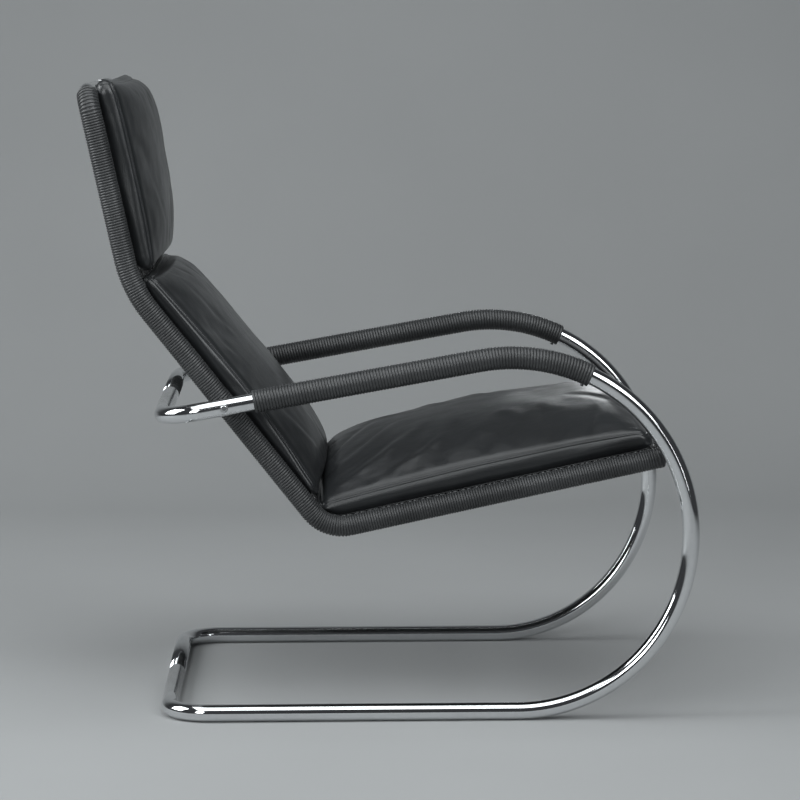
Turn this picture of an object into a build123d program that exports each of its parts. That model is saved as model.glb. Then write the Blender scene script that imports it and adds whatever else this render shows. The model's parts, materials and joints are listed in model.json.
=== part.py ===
from build123d import *

import os
from math import cos, radians, sin, sqrt

# Cantilever lounge chair. Millimetres and degrees.
# +X is the front of the chair, +Y the sitter's left and +Z up. The origin is on the floor, under the
# middle of the chair's depth and width. A heading is an angle in the XZ plane, 0 along +X and 90 along +Z.

# ---------------------------------------------------------------- driving sizes
# Overall
overall_depth = 987.5  # front of the bows to the back of the side rails' winding
frame_spacing = 622.0  # centre to centre of the two side tubes
rail_spacing = 554.0  # centre to centre of the two side rails
fit = 0.15  # clearance of a piece in or on another
soft_gap = 0.3  # clearance of a soft piece from its seat

# Main tube
tube_radius = 14.0
tube_wall = 2.0
bow_lower_radius = 274.0
bow_lower_turn = 50.5  # the part of the bow bent to the lower radius
bow_upper_radius = 288.5
arm_slope = 10.1  # fall of the arm towards the back
rear_corner_radius = 65.0
floor_loop_inset = 120.0  # back of the side rails' winding to the back of the floor cross tube
arm_loop_inset = 114.5  # back of the side rails' winding to the back of the arm cross tube
bow_top_heading = 100.0  # where the springing part of the bow ends, below the front joint

# Seat and back loop
rail_radius = 12.5
rail_wall = 2.0
rail_low_height = 304.5  # height of the corner between seat and back
seat_slope = 12.1  # rise of the seat towards the front
back_lean = 38.2  # lean of the lower back from upright
head_lean = 12.2  # lean of the upper back from upright
back_run = 497.9  # lower back, corner to corner
head_run = 318.5  # upper back, corner to top cross rail
seat_bend_radius = 62.0
head_bend_radius = 208.0
front_elbow_radius = 30.0
top_elbow_radius = 35.0
front_rail_lead = 3.0  # the front cross rail lies this far beyond the front joint

# Cord windings
cord_diameter = 4.6
arm_winding_joint_gap = 47.3  # bare arm from the rear screw to the winding's rear end
arm_winding_front_heading = 154.0  # its front end, on the bow
rail_winding_front_gap = 2.0  # bare straight tube behind the front elbow
rail_winding_top_turn = 47.5  # how far it follows the top elbow
tack_radius = 2.6
tack_height = 2.6
tack_setback = 7.0  # from the winding's front end

# Connectors
spigot_length = 120.0
spigot_wall = 2.5
pin_radius = 2.0
pin_setback = 40.0  # from the middle of the cross tube
screw_radius = 3.0
screw_head_radius = 5.25
screw_head_height = 3.3
screw_head_fillet = 1.4
hex_across_flats = 4.0
hex_depth = 2.0
screw_end_clearance = 1.5  # end of the screw to the rail's axis
washer_radius = 6.5
washer_height = 2.0
washer_cup_depth = 0.8
insert_radius = 4.5
insert_length = 10.0
insert_flange_radius = 6.0
insert_flange_height = 0.8
spacer_radius = 7.0
stub_radius = 8.0
stub_reach = 12.0  # the stub's end lies this far behind the rail's axis plane before it is coped

# Cord webs
web_height = 7.7  # underside of the web above the rail axes
web_thickness = 5.0
web_corner_radius = 36.0
web_split = 45.0  # the seat web goes this far up the back from the corner

# Cushions: lengths along the rails, heights above the rail axes
cover_thickness = 2.0
cushion_clearance = 3.5  # from the side rails' winding
cushion_draw_in = 2.5  # the sides are drawn in by this at the middle of the cushion
gusset_tuck = 7.0  # the underside is narrower than the widest point by this
seam_tuck = 4.0  # the seam lies this far inside the widest point
end_tuck = 14.0  # the end faces are narrower by this
seat_start = -7.0  # from the corner between seat and back, forwards
seat_front_setback = 24.9  # from the front cross rail's axis to the cushion's front end
seat_border = 38.0
seat_crown = 67.0
back_start = 5.0  # from the corner between lower and upper back, downwards
back_low_setback = 53.9  # from the corner between seat and back to the cushion's lower end
back_border = 27.0
back_crown = 38.0
head_start = -10.0  # from the top cross rail, downwards
head_low_setback = 24.5  # from the corner between lower and upper back to the cushion's lower end
head_border = 35.0
head_crown = 33.5

# Zips and fastener strips
zip_width = 8.0
zip_length = 380.0
zip_inset = 62.0  # from the cushion's end
strip_width = 25.0
strip_length = 340.0
strip_thickness = 1.2
strip_inset = 100.0  # from the cushion's ends

# ---------------------------------------------------------------- derived sizes
half_frame = frame_spacing / 2
half_rail = rail_spacing / 2
arm_winding_radius = tube_radius + cord_diameter
rail_winding_radius = rail_radius + cord_diameter
front_limit = overall_depth / 2
web_top = web_height + web_thickness
cushion_floor = web_top + soft_gap
across = Vector(0, 1, 0)


def heading(angle):
    """Unit vector in the XZ plane."""
    return Vector(cos(radians(angle)), 0, sin(radians(angle)))


def left_of(direction):
    """The direction turned a quarter turn towards +Z from +X."""
    return Vector(-direction.Z, 0, direction.X)


def meet_line(point, direction, other_point, other_direction):
    """Where two lines in the XZ plane cross."""
    normal = left_of(other_direction)
    travel = (other_point - point).dot(normal) / direction.dot(normal)
    return point + direction * travel


def meet_circle(point, direction, centre, radius):
    """Where a line in the XZ plane leaves a circle."""
    offset = centre - point
    along = offset.dot(direction)
    apart = offset.dot(left_of(direction))
    return point + direction * (along + sqrt(radius**2 - apart**2))


def offset_corner(corner, before, after, height):
    """A corner of a path, moved to the left of both its runs by height."""
    first, second = left_of(before), left_of(after)
    return corner + (first + second) * (height / (1 + first.dot(second)))


# Main tube's profile, from the floor up and over to the arm's rear end
arm_heading = 180 + arm_slope
bow_start = Vector(0, 0, tube_radius)
lower_centre = bow_start + heading(90) * bow_lower_radius
upper_centre = lower_centre - heading(bow_lower_turn - 90) * (bow_upper_radius - bow_lower_radius)
bow_shift = Vector(front_limit - tube_radius - bow_upper_radius - upper_centre.X, 0, 0)
bow_start += bow_shift
lower_centre += bow_shift
upper_centre += bow_shift
arm_start = upper_centre + heading(arm_heading - 90) * bow_upper_radius
arm_direction = heading(arm_heading)
floor_rear = Vector(floor_loop_inset + tube_radius - front_limit, 0, tube_radius)
arm_rear_x = arm_loop_inset + tube_radius - front_limit
arm_rear = arm_start + arm_direction * ((arm_rear_x - arm_start.X) / arm_direction.X)

# Rail's profile, from the top down and forwards
head_direction = heading(head_lean - 90)
back_direction = heading(back_lean - 90)
seat_direction = heading(seat_slope)
top_height = rail_low_height + back_run * cos(radians(back_lean)) + head_run * cos(radians(head_lean))
winding_top_drop = top_elbow_radius * (1 - sin(radians(rail_winding_top_turn)))
winding_top_tilt = sin(radians(rail_winding_top_turn)) * sin(radians(head_lean))
winding_reach = rail_winding_radius * sqrt(cos(radians(head_lean)) ** 2 + winding_top_tilt**2)
top_x = -front_limit + winding_reach - winding_top_drop * sin(radians(head_lean))
top_corner = Vector(top_x, 0, top_height)
head_corner = top_corner + head_direction * head_run
seat_corner = head_corner + back_direction * back_run
front_joint = meet_circle(seat_corner, seat_direction, upper_centre, bow_upper_radius)
rear_joint = meet_line(head_corner, back_direction, arm_start, arm_direction)
front_corner = front_joint + seat_direction * front_rail_lead
arm_winding_end = rear_joint - arm_direction * arm_winding_joint_gap
seat_end = (front_corner - seat_corner).length - seat_front_setback
back_end = back_run - back_low_setback
head_end = head_run - head_low_setback


def side_plane(y):
    """The XZ plane moved to y. Its x is +X, its y is +Z and its z is -Y."""
    return Plane.XZ.offset(-y)


def flat(point):
    """A point of the XZ plane in side_plane's coordinates."""
    return (point.X, point.Z)


def fused(solids, cuts=()):
    """Several solids as one part, with cuts taken out."""
    with BuildPart() as joined:
        for solid in solids:
            add(solid)
        for cut in cuts:
            add(cut, mode=Mode.SUBTRACT)
    return joined.part


def along_route(route, radius, bore=0.0):
    """A round bar, or a tube with a bore, swept along a route."""
    with BuildPart() as bar:
        with BuildSketch(Plane(origin=route @ 0, z_dir=route % 0)):
            Circle(radius)
            if bore:
                Circle(bore, mode=Mode.SUBTRACT)
        sweep(path=route)
    return bar.part


def cylinder_between(start, end, radius, bore=0.0):
    """A round bar or a tube between two points."""
    with BuildPart() as bar:
        with BuildSketch(Plane(origin=start, z_dir=end - start)):
            Circle(radius)
            if bore:
                Circle(bore, mode=Mode.SUBTRACT)
        extrude(amount=(end - start).length)
    return bar.part


def box_on(plane, length, width, height, base=0.0):
    """A box whose underside is centred on plane, base above it. Its length runs along the plane's x."""
    with BuildPart() as block:
        with BuildSketch(plane.offset(base)):
            Rectangle(length, width)
        extrude(amount=height)
    return block.part


def keep(part, name):
    """Writes a piece to its own file under its own name."""
    part.label = name
    export_step(part, f"parts/{name}.step")


# ---------------------------------------------------------------- routes of the tubes
def floor_route(y):
    """From the foot of the bow back along the floor and across to the middle."""
    with BuildLine(side_plane(y)) as route:
        FilletPolyline(
            flat(bow_start),
            flat(floor_rear),
            (floor_rear.X, floor_rear.Z, y),
            radius=rear_corner_radius,
        )
    return route.wire()


def bow_route(y):
    """From the floor runner up to just below the front joint."""
    with BuildLine(side_plane(y)) as route:
        CenterArc(flat(lower_centre), bow_lower_radius, -90, bow_lower_turn)
        CenterArc(
            flat(upper_centre), bow_upper_radius, bow_lower_turn - 90, bow_top_heading - bow_lower_turn
        )
    return route.wire()


def arm_route(y):
    """From the top of the springing bow over the crest, back along the arm and across to the middle."""
    with BuildLine(side_plane(y)) as route:
        CenterArc(
            flat(upper_centre), bow_upper_radius, bow_top_heading - 90, arm_heading - bow_top_heading
        )
        FilletPolyline(
            flat(arm_start),
            flat(arm_rear),
            (arm_rear.X, arm_rear.Z, y),
            radius=rear_corner_radius,
        )
    return route.wire()


def arm_winding_route(y):
    """The wound part of the arm."""
    with BuildLine(side_plane(y)) as route:
        CenterArc(
            flat(upper_centre),
            bow_upper_radius,
            arm_winding_front_heading - 90,
            arm_heading - arm_winding_front_heading,
        )
        Line(flat(arm_start), flat(arm_winding_end))
    return route.wire()


def rail_route(y):
    """From the middle of the front cross rail, along the seat, up the back and across the top."""
    side = across * y
    with BuildLine() as route:
        FilletPolyline(
            front_corner,
            front_corner + side,
            seat_corner + side,
            head_corner + side,
            top_corner + side,
            top_corner,
            radius=[front_elbow_radius, seat_bend_radius, head_bend_radius, top_elbow_radius],
        )
    return route.wire()


def rail_winding_route(y):
    """The wound part of a side rail."""
    bare_front = half_rail - front_elbow_radius + radians(90) * front_elbow_radius + rail_winding_front_gap
    bare_top = half_rail - top_elbow_radius + radians(90 - rail_winding_top_turn) * top_elbow_radius
    route = rail_route(y)
    return route.trim(bare_front / route.length, 1 - bare_top / route.length)


# ---------------------------------------------------------------- joints of the frame
def rear_joint_at(side, distance):
    """A point on the rear joint's axis, distance out from the middle plane."""
    return rear_joint + across * side * distance


rail_outside = half_rail + rail_radius
arm_outside = half_frame + tube_radius
washer_outside = arm_outside + washer_height


def rear_screw(side):
    """Button-head screw with a hexagon socket, from outside the arm into the rail's insert."""
    seat_point = rear_joint_at(side, washer_outside - washer_cup_depth)
    outward = across * side
    with BuildPart() as screw:
        with BuildSketch(Plane(origin=seat_point, z_dir=outward)):
            Circle(screw_head_radius)
        extrude(amount=screw_head_height)
        rim = screw.edges().filter_by(GeomType.CIRCLE).sort_by(Axis(seat_point, outward))[-1]
        fillet(rim, screw_head_fillet)
        with BuildSketch(Plane(origin=seat_point + outward * screw_head_height, z_dir=outward)):
            RegularPolygon(hex_across_flats / 2, 6, major_radius=False)
        extrude(amount=-hex_depth, mode=Mode.SUBTRACT)
        add(cylinder_between(rear_joint_at(side, half_rail + screw_end_clearance), seat_point, screw_radius))
    return screw.part


def cup_washer(side):
    """Cup washer coped to the arm tube, dished for the screw's head."""
    blank = cylinder_between(
        rear_joint_at(side, half_frame), rear_joint_at(side, washer_outside), washer_radius
    )
    cup = cylinder_between(
        rear_joint_at(side, washer_outside - washer_cup_depth - fit),
        rear_joint_at(side, washer_outside + washer_cup_depth),
        screw_head_radius + fit,
    )
    bore = cylinder_between(
        rear_joint_at(side, half_rail), rear_joint_at(side, washer_outside), screw_radius + fit
    )
    return fused([blank], [cup, bore, arm_bar(side, fit)])


def rail_bar(side, clearance):
    """The side rail as a solid bar, for coping what meets it."""
    return along_route(rail_route(side * half_rail), rail_radius + clearance)


def arm_bar(side, clearance):
    """The bow and arm as a solid bar, for coping what meets it."""
    return along_route(arm_route(side * half_frame), tube_radius + clearance)


def insert_flange(side, clearance):
    """The flange of the rail's insert, or with a clearance the room for it."""
    return cylinder_between(
        rear_joint_at(side, half_rail),
        rear_joint_at(side, rail_outside + insert_flange_height + clearance),
        insert_flange_radius + clearance,
    )


def rear_spacer(side):
    """Spacer between arm and rail, coped to both."""
    blank = cylinder_between(rear_joint_at(side, half_rail), rear_joint_at(side, half_frame), spacer_radius)
    bore = cylinder_between(
        rear_joint_at(side, half_rail), rear_joint_at(side, half_frame), screw_radius + fit
    )
    return fused([blank], [bore, rail_bar(side, fit), arm_bar(side, fit), insert_flange(side, fit)])


def rear_insert(side):
    """Threaded insert riveted into the rail's outer wall."""
    body = cylinder_between(
        rear_joint_at(side, rail_outside - insert_length),
        rear_joint_at(side, rail_outside + insert_flange_height),
        insert_radius,
    )
    flange = fused([insert_flange(side, 0)], [rail_bar(side, fit)])
    bore = cylinder_between(
        rear_joint_at(side, half_rail - insert_length),
        rear_joint_at(side, half_frame),
        screw_radius + fit / 2,
    )
    return fused([body, flange], [bore])


def front_stub(side):
    """Stub brazed between the rail's elbow and the bow, coped to both."""
    inner = front_joint + across * side * (half_rail - stub_reach)
    outer = front_joint + across * side * half_frame
    blank = cylinder_between(inner, outer, stub_radius)
    return fused([blank], [rail_bar(side, fit), arm_bar(side, fit)])


def screw_hole(side, radius, start, end):
    """Hole along the rear joint's axis."""
    return cylinder_between(rear_joint_at(side, start), rear_joint_at(side, end), radius)


# ---------------------------------------------------------------- spigots and pins
def spigot(middle, radius):
    """Tube inside a cross tube, bridging its two halves."""
    reach = across * (spigot_length / 2)
    return cylinder_between(middle - reach, middle + reach, radius, radius - spigot_wall)


def pin_ends(middle, into, outer_radius, side):
    """Both ends of a spring pin that goes in through the wall of a cross tube."""
    place = middle + across * (side * pin_setback)
    return place - into * outer_radius, place - into * (spigot_wall + fit)


def spring_pins(middle, into, outer_radius, clearance=0.0):
    """The two spring pins of a spigot, or with a clearance the holes for them."""
    pins = []
    for side in (1, -1):
        start, end = pin_ends(middle, into, outer_radius, side)
        extra = into * clearance
        pins.append(cylinder_between(start - extra, end + extra, pin_radius + clearance))
    return pins


# The cross tubes: middle, direction in which the pins go in, tube radius and wall
cross_tubes = {
    "floor": (floor_rear, Vector(-1, 0, 0), tube_radius, tube_wall),
    "arm": (arm_rear, Vector(-1, 0, 0), tube_radius, tube_wall),
    "front": (front_corner, left_of(seat_direction), rail_radius, rail_wall),
    "top": (top_corner, head_direction * -1, rail_radius, rail_wall),
}


def cross_holes(name):
    """Holes for the spring pins of one cross tube."""
    middle, into, radius, _ = cross_tubes[name]
    return spring_pins(middle, into, radius, fit)


def make_spigots():
    """Each spigot is a node. The pins of the floor loop are one node, the others another."""
    for name, (middle, into, radius, wall) in cross_tubes.items():
        keep(fused([spigot(middle, radius - wall - fit)], cross_holes(name)), f"{name}_spigot")
    floor_middle, floor_into, floor_radius, _ = cross_tubes["floor"]
    keep(fused(spring_pins(floor_middle, floor_into, floor_radius)), "floor_spring_pins")
    pins = []
    for name in ("arm", "front", "top"):
        middle, into, radius, _ = cross_tubes[name]
        pins += spring_pins(middle, into, radius)
    keep(fused(pins), "upper_spring_pins")


# ---------------------------------------------------------------- tubes and windings
def make_frame():
    """The main frame, three nodes a side of one real tube."""
    bore = tube_radius - tube_wall
    for name, side in (("left", 1), ("right", -1)):
        y = side * half_frame
        floor_tube = along_route(floor_route(y), tube_radius, bore)
        keep(fused([floor_tube], cross_holes("floor")), f"base_tube_{name}")
        keep(along_route(bow_route(y), tube_radius, bore), f"bow_{name}")
        arm_tube = along_route(arm_route(y), tube_radius, bore)
        through = screw_hole(side, screw_radius + fit, half_rail, arm_outside + tube_radius)
        keep(fused([arm_tube], [through, *cross_holes("arm")]), f"arm_tube_{name}")


def make_rails():
    """The seat and back loop, one node a side."""
    for name, side in (("left", 1), ("right", -1)):
        tube = along_route(rail_route(side * half_rail), rail_radius, rail_radius - rail_wall)
        insert_hole = screw_hole(side, insert_radius + fit, half_rail, half_frame)
        keep(fused([tube], [insert_hole, *cross_holes("front"), *cross_holes("top")]), f"side_rail_{name}")


def make_windings():
    """Each winding is a sleeve of the outer size of its turns."""
    for name, side in (("left", 1), ("right", -1)):
        arm_route_wound = arm_winding_route(side * half_frame)
        keep(along_route(arm_route_wound, arm_winding_radius, tube_radius + fit), f"arm_winding_{name}")
        sleeve = along_route(rail_winding_route(side * half_rail), rail_winding_radius, rail_radius + fit)
        spacer_hole = screw_hole(side, spacer_radius + fit, half_rail, half_frame)
        keep(fused([sleeve], [spacer_hole]), f"rail_winding_{name}")


def winding_tack(side):
    """Head of the tack that holds the cord's end, under the front of an arm winding."""
    turn_back = tack_setback / bow_upper_radius
    out = heading(arm_winding_front_heading - 90)
    tangent = left_of(out)
    out = (out + tangent * turn_back).normalized()
    surface = upper_centre + out * (bow_upper_radius - arm_winding_radius) + across * side * half_frame
    blank = cylinder_between(surface + out * tack_height, surface - out * tack_height, tack_radius)
    winding = along_route(arm_winding_route(side * half_frame), arm_winding_radius + fit)
    return fused([blank], [winding])


def make_joints():
    """Screws, washers, spacers, inserts, stubs and tacks: one node for each kind."""
    kinds = {
        "rear_screws": rear_screw,
        "rear_cup_washers": cup_washer,
        "rear_spacers": rear_spacer,
        "rear_inserts": rear_insert,
        "front_stubs": front_stub,
        "winding_tacks": winding_tack,
    }
    for name, shape in kinds.items():
        keep(fused([shape(1), shape(-1)]), name)


# ---------------------------------------------------------------- webs
web_half_width = half_rail - sqrt(rail_winding_radius**2 - web_height**2) - soft_gap
cross_rail_room = sqrt(rail_radius**2 - web_height**2) + soft_gap


def run_edge(points, headings, radius, height):
    """A path along two runs of the rails at a height above their axes, and the radius of its bend."""
    first, corner, last = points
    before, after = headings
    moved_first = first + left_of(before) * height
    moved_last = last + left_of(after) * height
    return [moved_first, offset_corner(corner, before, after, height), moved_last], radius - height


def band(points, headings, radius, heights, half_width):
    """A panel along two runs of the rails, between two heights above their axes."""
    low, low_radius = run_edge(points, headings, radius, heights[0])
    high, high_radius = run_edge(points, headings, radius, heights[1])
    with BuildPart() as panel:
        with BuildSketch(Plane.XZ):
            with BuildLine():
                FilletPolyline(*[flat(point) for point in low], radius=low_radius)
                FilletPolyline(*[flat(point) for point in high], radius=high_radius)
                Line(flat(low[0]), flat(high[0]))
                Line(flat(low[2]), flat(high[2]))
            make_face()
        extrude(amount=half_width, both=True)
    return panel.part


web_split_point = seat_corner - back_direction * web_split
seat_headings = (back_direction, seat_direction)
back_headings = (head_direction, back_direction)


def web(points, headings, radius, rounded):
    """A web along two runs of the rails. Its corners at the rounded point clear the elbows."""
    with BuildPart() as panel:
        add(band(points, headings, radius, (web_height, web_top), web_half_width))
        straight = panel.edges().filter_by(GeomType.LINE).sort_by_distance(rounded)
        short = [edge for edge in straight if abs(edge.length - web_thickness) < web_thickness / 100]
        fillet(short[:2], web_corner_radius)
    return panel.part


def make_webs():
    """The woven cord webs, as plain panels of their full outer size."""
    front = front_corner - seat_direction * cross_rail_room
    top = top_corner + head_direction * cross_rail_room
    seat = web((web_split_point, seat_corner, front), seat_headings, seat_bend_radius, front)
    back = web((top, head_corner, web_split_point), back_headings, head_bend_radius, top)
    strips = fastener_strips()
    keep(fused([seat], strips["seat"]), "seat_web")
    keep(fused([back], strips["back"] + strips["head"]), "back_web")
    keep(fused(strips["seat"] + strips["back"] + strips["head"]), "fastener_strips")


# ---------------------------------------------------------------- cushions
cushion_half_width = half_rail - rail_winding_radius - cushion_clearance

# Name: origin and heading of its run, start and end along it, border height, crown
cushions = {
    "seat": (seat_corner, seat_direction, seat_start, seat_end, seat_border, seat_crown),
    "back": (head_corner, back_direction, back_start, back_end, back_border, back_crown),
    "head": (top_corner, head_direction, head_start, head_end, head_border, head_crown),
}

# Where a cushion's cross-sections lie, as shares of its length
cushion_stations = (0, 0.025, 0.09, 0.27, 0.5, 0.73, 0.91, 0.975, 1)

# How far its border is closed in there
closed_shares = (1, 0.3, 0, 0, 0, 0, 0, 0.3, 1)
end_lift = 0.25  # where it is fully closed in, by this share of its height from either side

# How much of its crown a cushion has at each cross-section
crown_shares = {
    "seat": (0.04, 0.45, 0.74, 0.93, 1.0, 0.86, 0.7, 0.35, 0.04),
    "back": (0.04, 0.6, 0.85, 0.92, 0.97, 1.0, 0.8, 0.4, 0.04),
    "head": (0.04, 0.55, 0.95, 1.0, 0.88, 0.72, 0.45, 0.25, 0.04),
}


def cushion_section(plane, half_width, floor, border, crown):
    """One cross-section of a cushion: flat underside, bulging sides and a crowned top."""
    middle = floor + border / 2
    seam_height = floor + border
    floor_x, seam_x = half_width - gusset_tuck, half_width - seam_tuck
    with BuildSketch(plane) as section:
        with BuildLine():
            Line((-floor_x, floor), (floor_x, floor))
            ThreePointArc((floor_x, floor), (half_width, middle), (seam_x, seam_height))
            ThreePointArc((seam_x, seam_height), (0, seam_height + crown), (-seam_x, seam_height))
            ThreePointArc((-seam_x, seam_height), (-half_width, middle), (-floor_x, floor))
        make_face()
    return section.sketch


def cushion_loft(name, inset):
    """A cushion as it would lie on a flat web, or with an inset what is inside its cover."""
    origin, direction, start, end, border, crown = cushions[name]
    sections = []
    for share, closed, crown_share in zip(cushion_stations, closed_shares, crown_shares[name]):
        place = start + inset + share * (end - start - 2 * inset)
        plane = Plane(origin=origin + direction * place, x_dir=across, z_dir=direction)
        draw_in = cushion_draw_in * (1 - (2 * share - 1) ** 2)
        half_width = cushion_half_width - inset - draw_in - closed * end_tuck
        lift = inset + closed * end_lift * border
        floor = cushion_floor + lift
        sections.append(cushion_section(plane, half_width, floor, border - 2 * lift, crown * crown_share))
    return loft(sections)


def bent_web_room(inset):
    """What rails and webs take up at their bends, with the cushions' clearance and an inset."""
    heights = (-rail_winding_radius, cushion_floor + inset - fit / 2)
    seat_points = (web_split_point, seat_corner, front_corner)
    back_points = (top_corner, head_corner, web_split_point)
    return [
        band(seat_points, seat_headings, seat_bend_radius, heights, half_rail),
        band(back_points, back_headings, head_bend_radius, heights, half_rail),
    ]


def cushion(name, inset):
    """A cushion's outer form, fitted to the bends of the webs and, at the back, to the seat cushion."""
    cuts = bent_web_room(inset)
    if name == "back":
        cuts.append(cushion_loft("seat", -inset - soft_gap))
    return fused([cushion_loft(name, inset)], cuts)


def underside_plane(name, place, height):
    """Plane parallel to a cushion's underside, with x across the chair."""
    origin, direction, *_ = cushions[name]
    point = origin + direction * place + left_of(direction) * height
    return Plane(origin=point, x_dir=across, z_dir=left_of(direction))


def zip_box(name, clearance):
    """The zip in the underside of a cushion, or with a clearance the slot for it."""
    start = cushions[name][2]
    plane = underside_plane(name, start + zip_inset, cushion_floor)
    length, width = zip_length + 2 * clearance, zip_width + 2 * clearance
    height = cover_thickness - fit + 2 * clearance
    return box_on(plane, length, width, height, fit / 2 - clearance)


def fastener_strips():
    """Strips let into the webs under each cushion, keyed by cushion."""
    strips = {}
    for name, (_, _, start, end, _, _) in cushions.items():
        places = (start + strip_inset, end - strip_inset)
        planes = [underside_plane(name, place, web_top - strip_thickness) for place in places]
        strips[name] = [box_on(plane, strip_length, strip_width, strip_thickness) for plane in planes]
    return strips


def make_cushions():
    """Cover, core and zip of each cushion."""
    for name in cushions:
        outer = cushion(name, 0)
        hollow = cushion(name, cover_thickness)
        keep(fused([outer], [hollow, zip_box(name, fit)]), f"{name}_cushion_cover")
        keep(cushion(name, cover_thickness + soft_gap), f"{name}_cushion_core")
        keep(zip_box(name, 0), f"{name}_cushion_zip")


os.makedirs("parts", exist_ok=True)
make_frame()
make_rails()
make_spigots()
make_windings()
make_joints()
make_webs()
make_cushions()
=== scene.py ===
"""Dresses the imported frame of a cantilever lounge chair.

A sprung loop of chromed tube carries corded arms and a corded seat and back loop.
Two woven cord webs lie in that loop, and three boxed leather cushions lie on the webs.
Lengths are in metres and angles in degrees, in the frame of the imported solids: +X is
the front of the chair, +Y the sitter's left and +Z up, with the floor at Z = 0.
"""

from __future__ import annotations

import json
import logging
import math
from dataclasses import dataclass, field
from enum import Enum
from typing import Callable, Sequence

import bmesh
import bpy
import numpy as np
from mathutils import Matrix, Vector, noise
from mathutils.bvhtree import BVHTree

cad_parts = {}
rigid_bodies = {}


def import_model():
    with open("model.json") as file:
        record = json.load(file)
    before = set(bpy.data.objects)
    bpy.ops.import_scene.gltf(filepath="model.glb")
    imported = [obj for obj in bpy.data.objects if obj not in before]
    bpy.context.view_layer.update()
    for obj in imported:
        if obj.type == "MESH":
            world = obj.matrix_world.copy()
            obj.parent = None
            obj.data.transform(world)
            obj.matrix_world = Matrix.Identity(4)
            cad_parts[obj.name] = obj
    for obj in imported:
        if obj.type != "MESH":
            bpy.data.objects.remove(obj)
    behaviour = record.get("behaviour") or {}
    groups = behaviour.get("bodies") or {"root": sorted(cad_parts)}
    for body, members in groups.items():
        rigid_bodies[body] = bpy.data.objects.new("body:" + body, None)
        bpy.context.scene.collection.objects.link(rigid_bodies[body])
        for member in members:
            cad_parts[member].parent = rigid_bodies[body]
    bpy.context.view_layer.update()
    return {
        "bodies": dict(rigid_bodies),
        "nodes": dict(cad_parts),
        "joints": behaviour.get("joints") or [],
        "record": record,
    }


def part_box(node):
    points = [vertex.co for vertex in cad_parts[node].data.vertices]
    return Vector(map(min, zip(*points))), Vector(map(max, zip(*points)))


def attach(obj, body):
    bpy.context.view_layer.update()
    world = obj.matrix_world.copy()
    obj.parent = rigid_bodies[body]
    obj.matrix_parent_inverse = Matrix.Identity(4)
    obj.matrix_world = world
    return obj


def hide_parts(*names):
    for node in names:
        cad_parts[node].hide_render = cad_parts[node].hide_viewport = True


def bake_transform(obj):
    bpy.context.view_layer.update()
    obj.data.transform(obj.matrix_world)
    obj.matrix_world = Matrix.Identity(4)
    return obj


LOG = logging.getLogger("lounge_chair")
TUBE_SIDES = 64
CORNER_STEP = 2.5
ARC_STEP = 2.0
NEARLY_UPRIGHT = 0.1
SAME_POINT = 1e-5
Colour = tuple[float, float, float]


class Side(Enum):
    """The two sides of the chair, as the sign of Y."""

    LEFT = 1
    RIGHT = -1

    @property
    def word(self) -> str:
        """The side's name in a piece's name."""
        return self.name.lower()


class Slot(Enum):
    """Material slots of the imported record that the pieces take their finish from."""

    CHROME = "chromed_tube"
    SPIGOT = "spigot_steel"
    PIN = "pin_steel"
    SCREW = "screw_chrome"
    SPACER = "spacer_chrome"
    INSERT = "insert_steel"
    TACK = "tack_black"
    CORD = "wound_cord"
    WEB = "web_cord"
    TAPE = "fastener_tape"
    LEATHER = "cushion_leather"
    ZIP = "zip_black"


class Body(Enum):
    """The two bodies that the bows' spring joins."""

    BASE = "base"
    SEAT = "seat"


# ---------------------------------------------------------------- node trees
class Wire:
    """A value inside a node tree. Python's operators on it add Math nodes."""

    def __init__(self, board: Board, socket: bpy.types.NodeSocket) -> None:
        """Keeps the tree's board and the output that carries the value."""
        self.board = board
        self.socket = socket

    def __add__(self, other: object) -> Wire:
        """The sum of two values."""
        return self.board.math("ADD", self, other)

    def __sub__(self, other: object) -> Wire:
        """The difference of two values."""
        return self.board.math("SUBTRACT", self, other)

    def __mul__(self, other: object) -> Wire:
        """The product of two values."""
        return self.board.math("MULTIPLY", self, other)

    def __truediv__(self, other: object) -> Wire:
        """The quotient of two values."""
        return self.board.math("DIVIDE", self, other)


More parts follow.
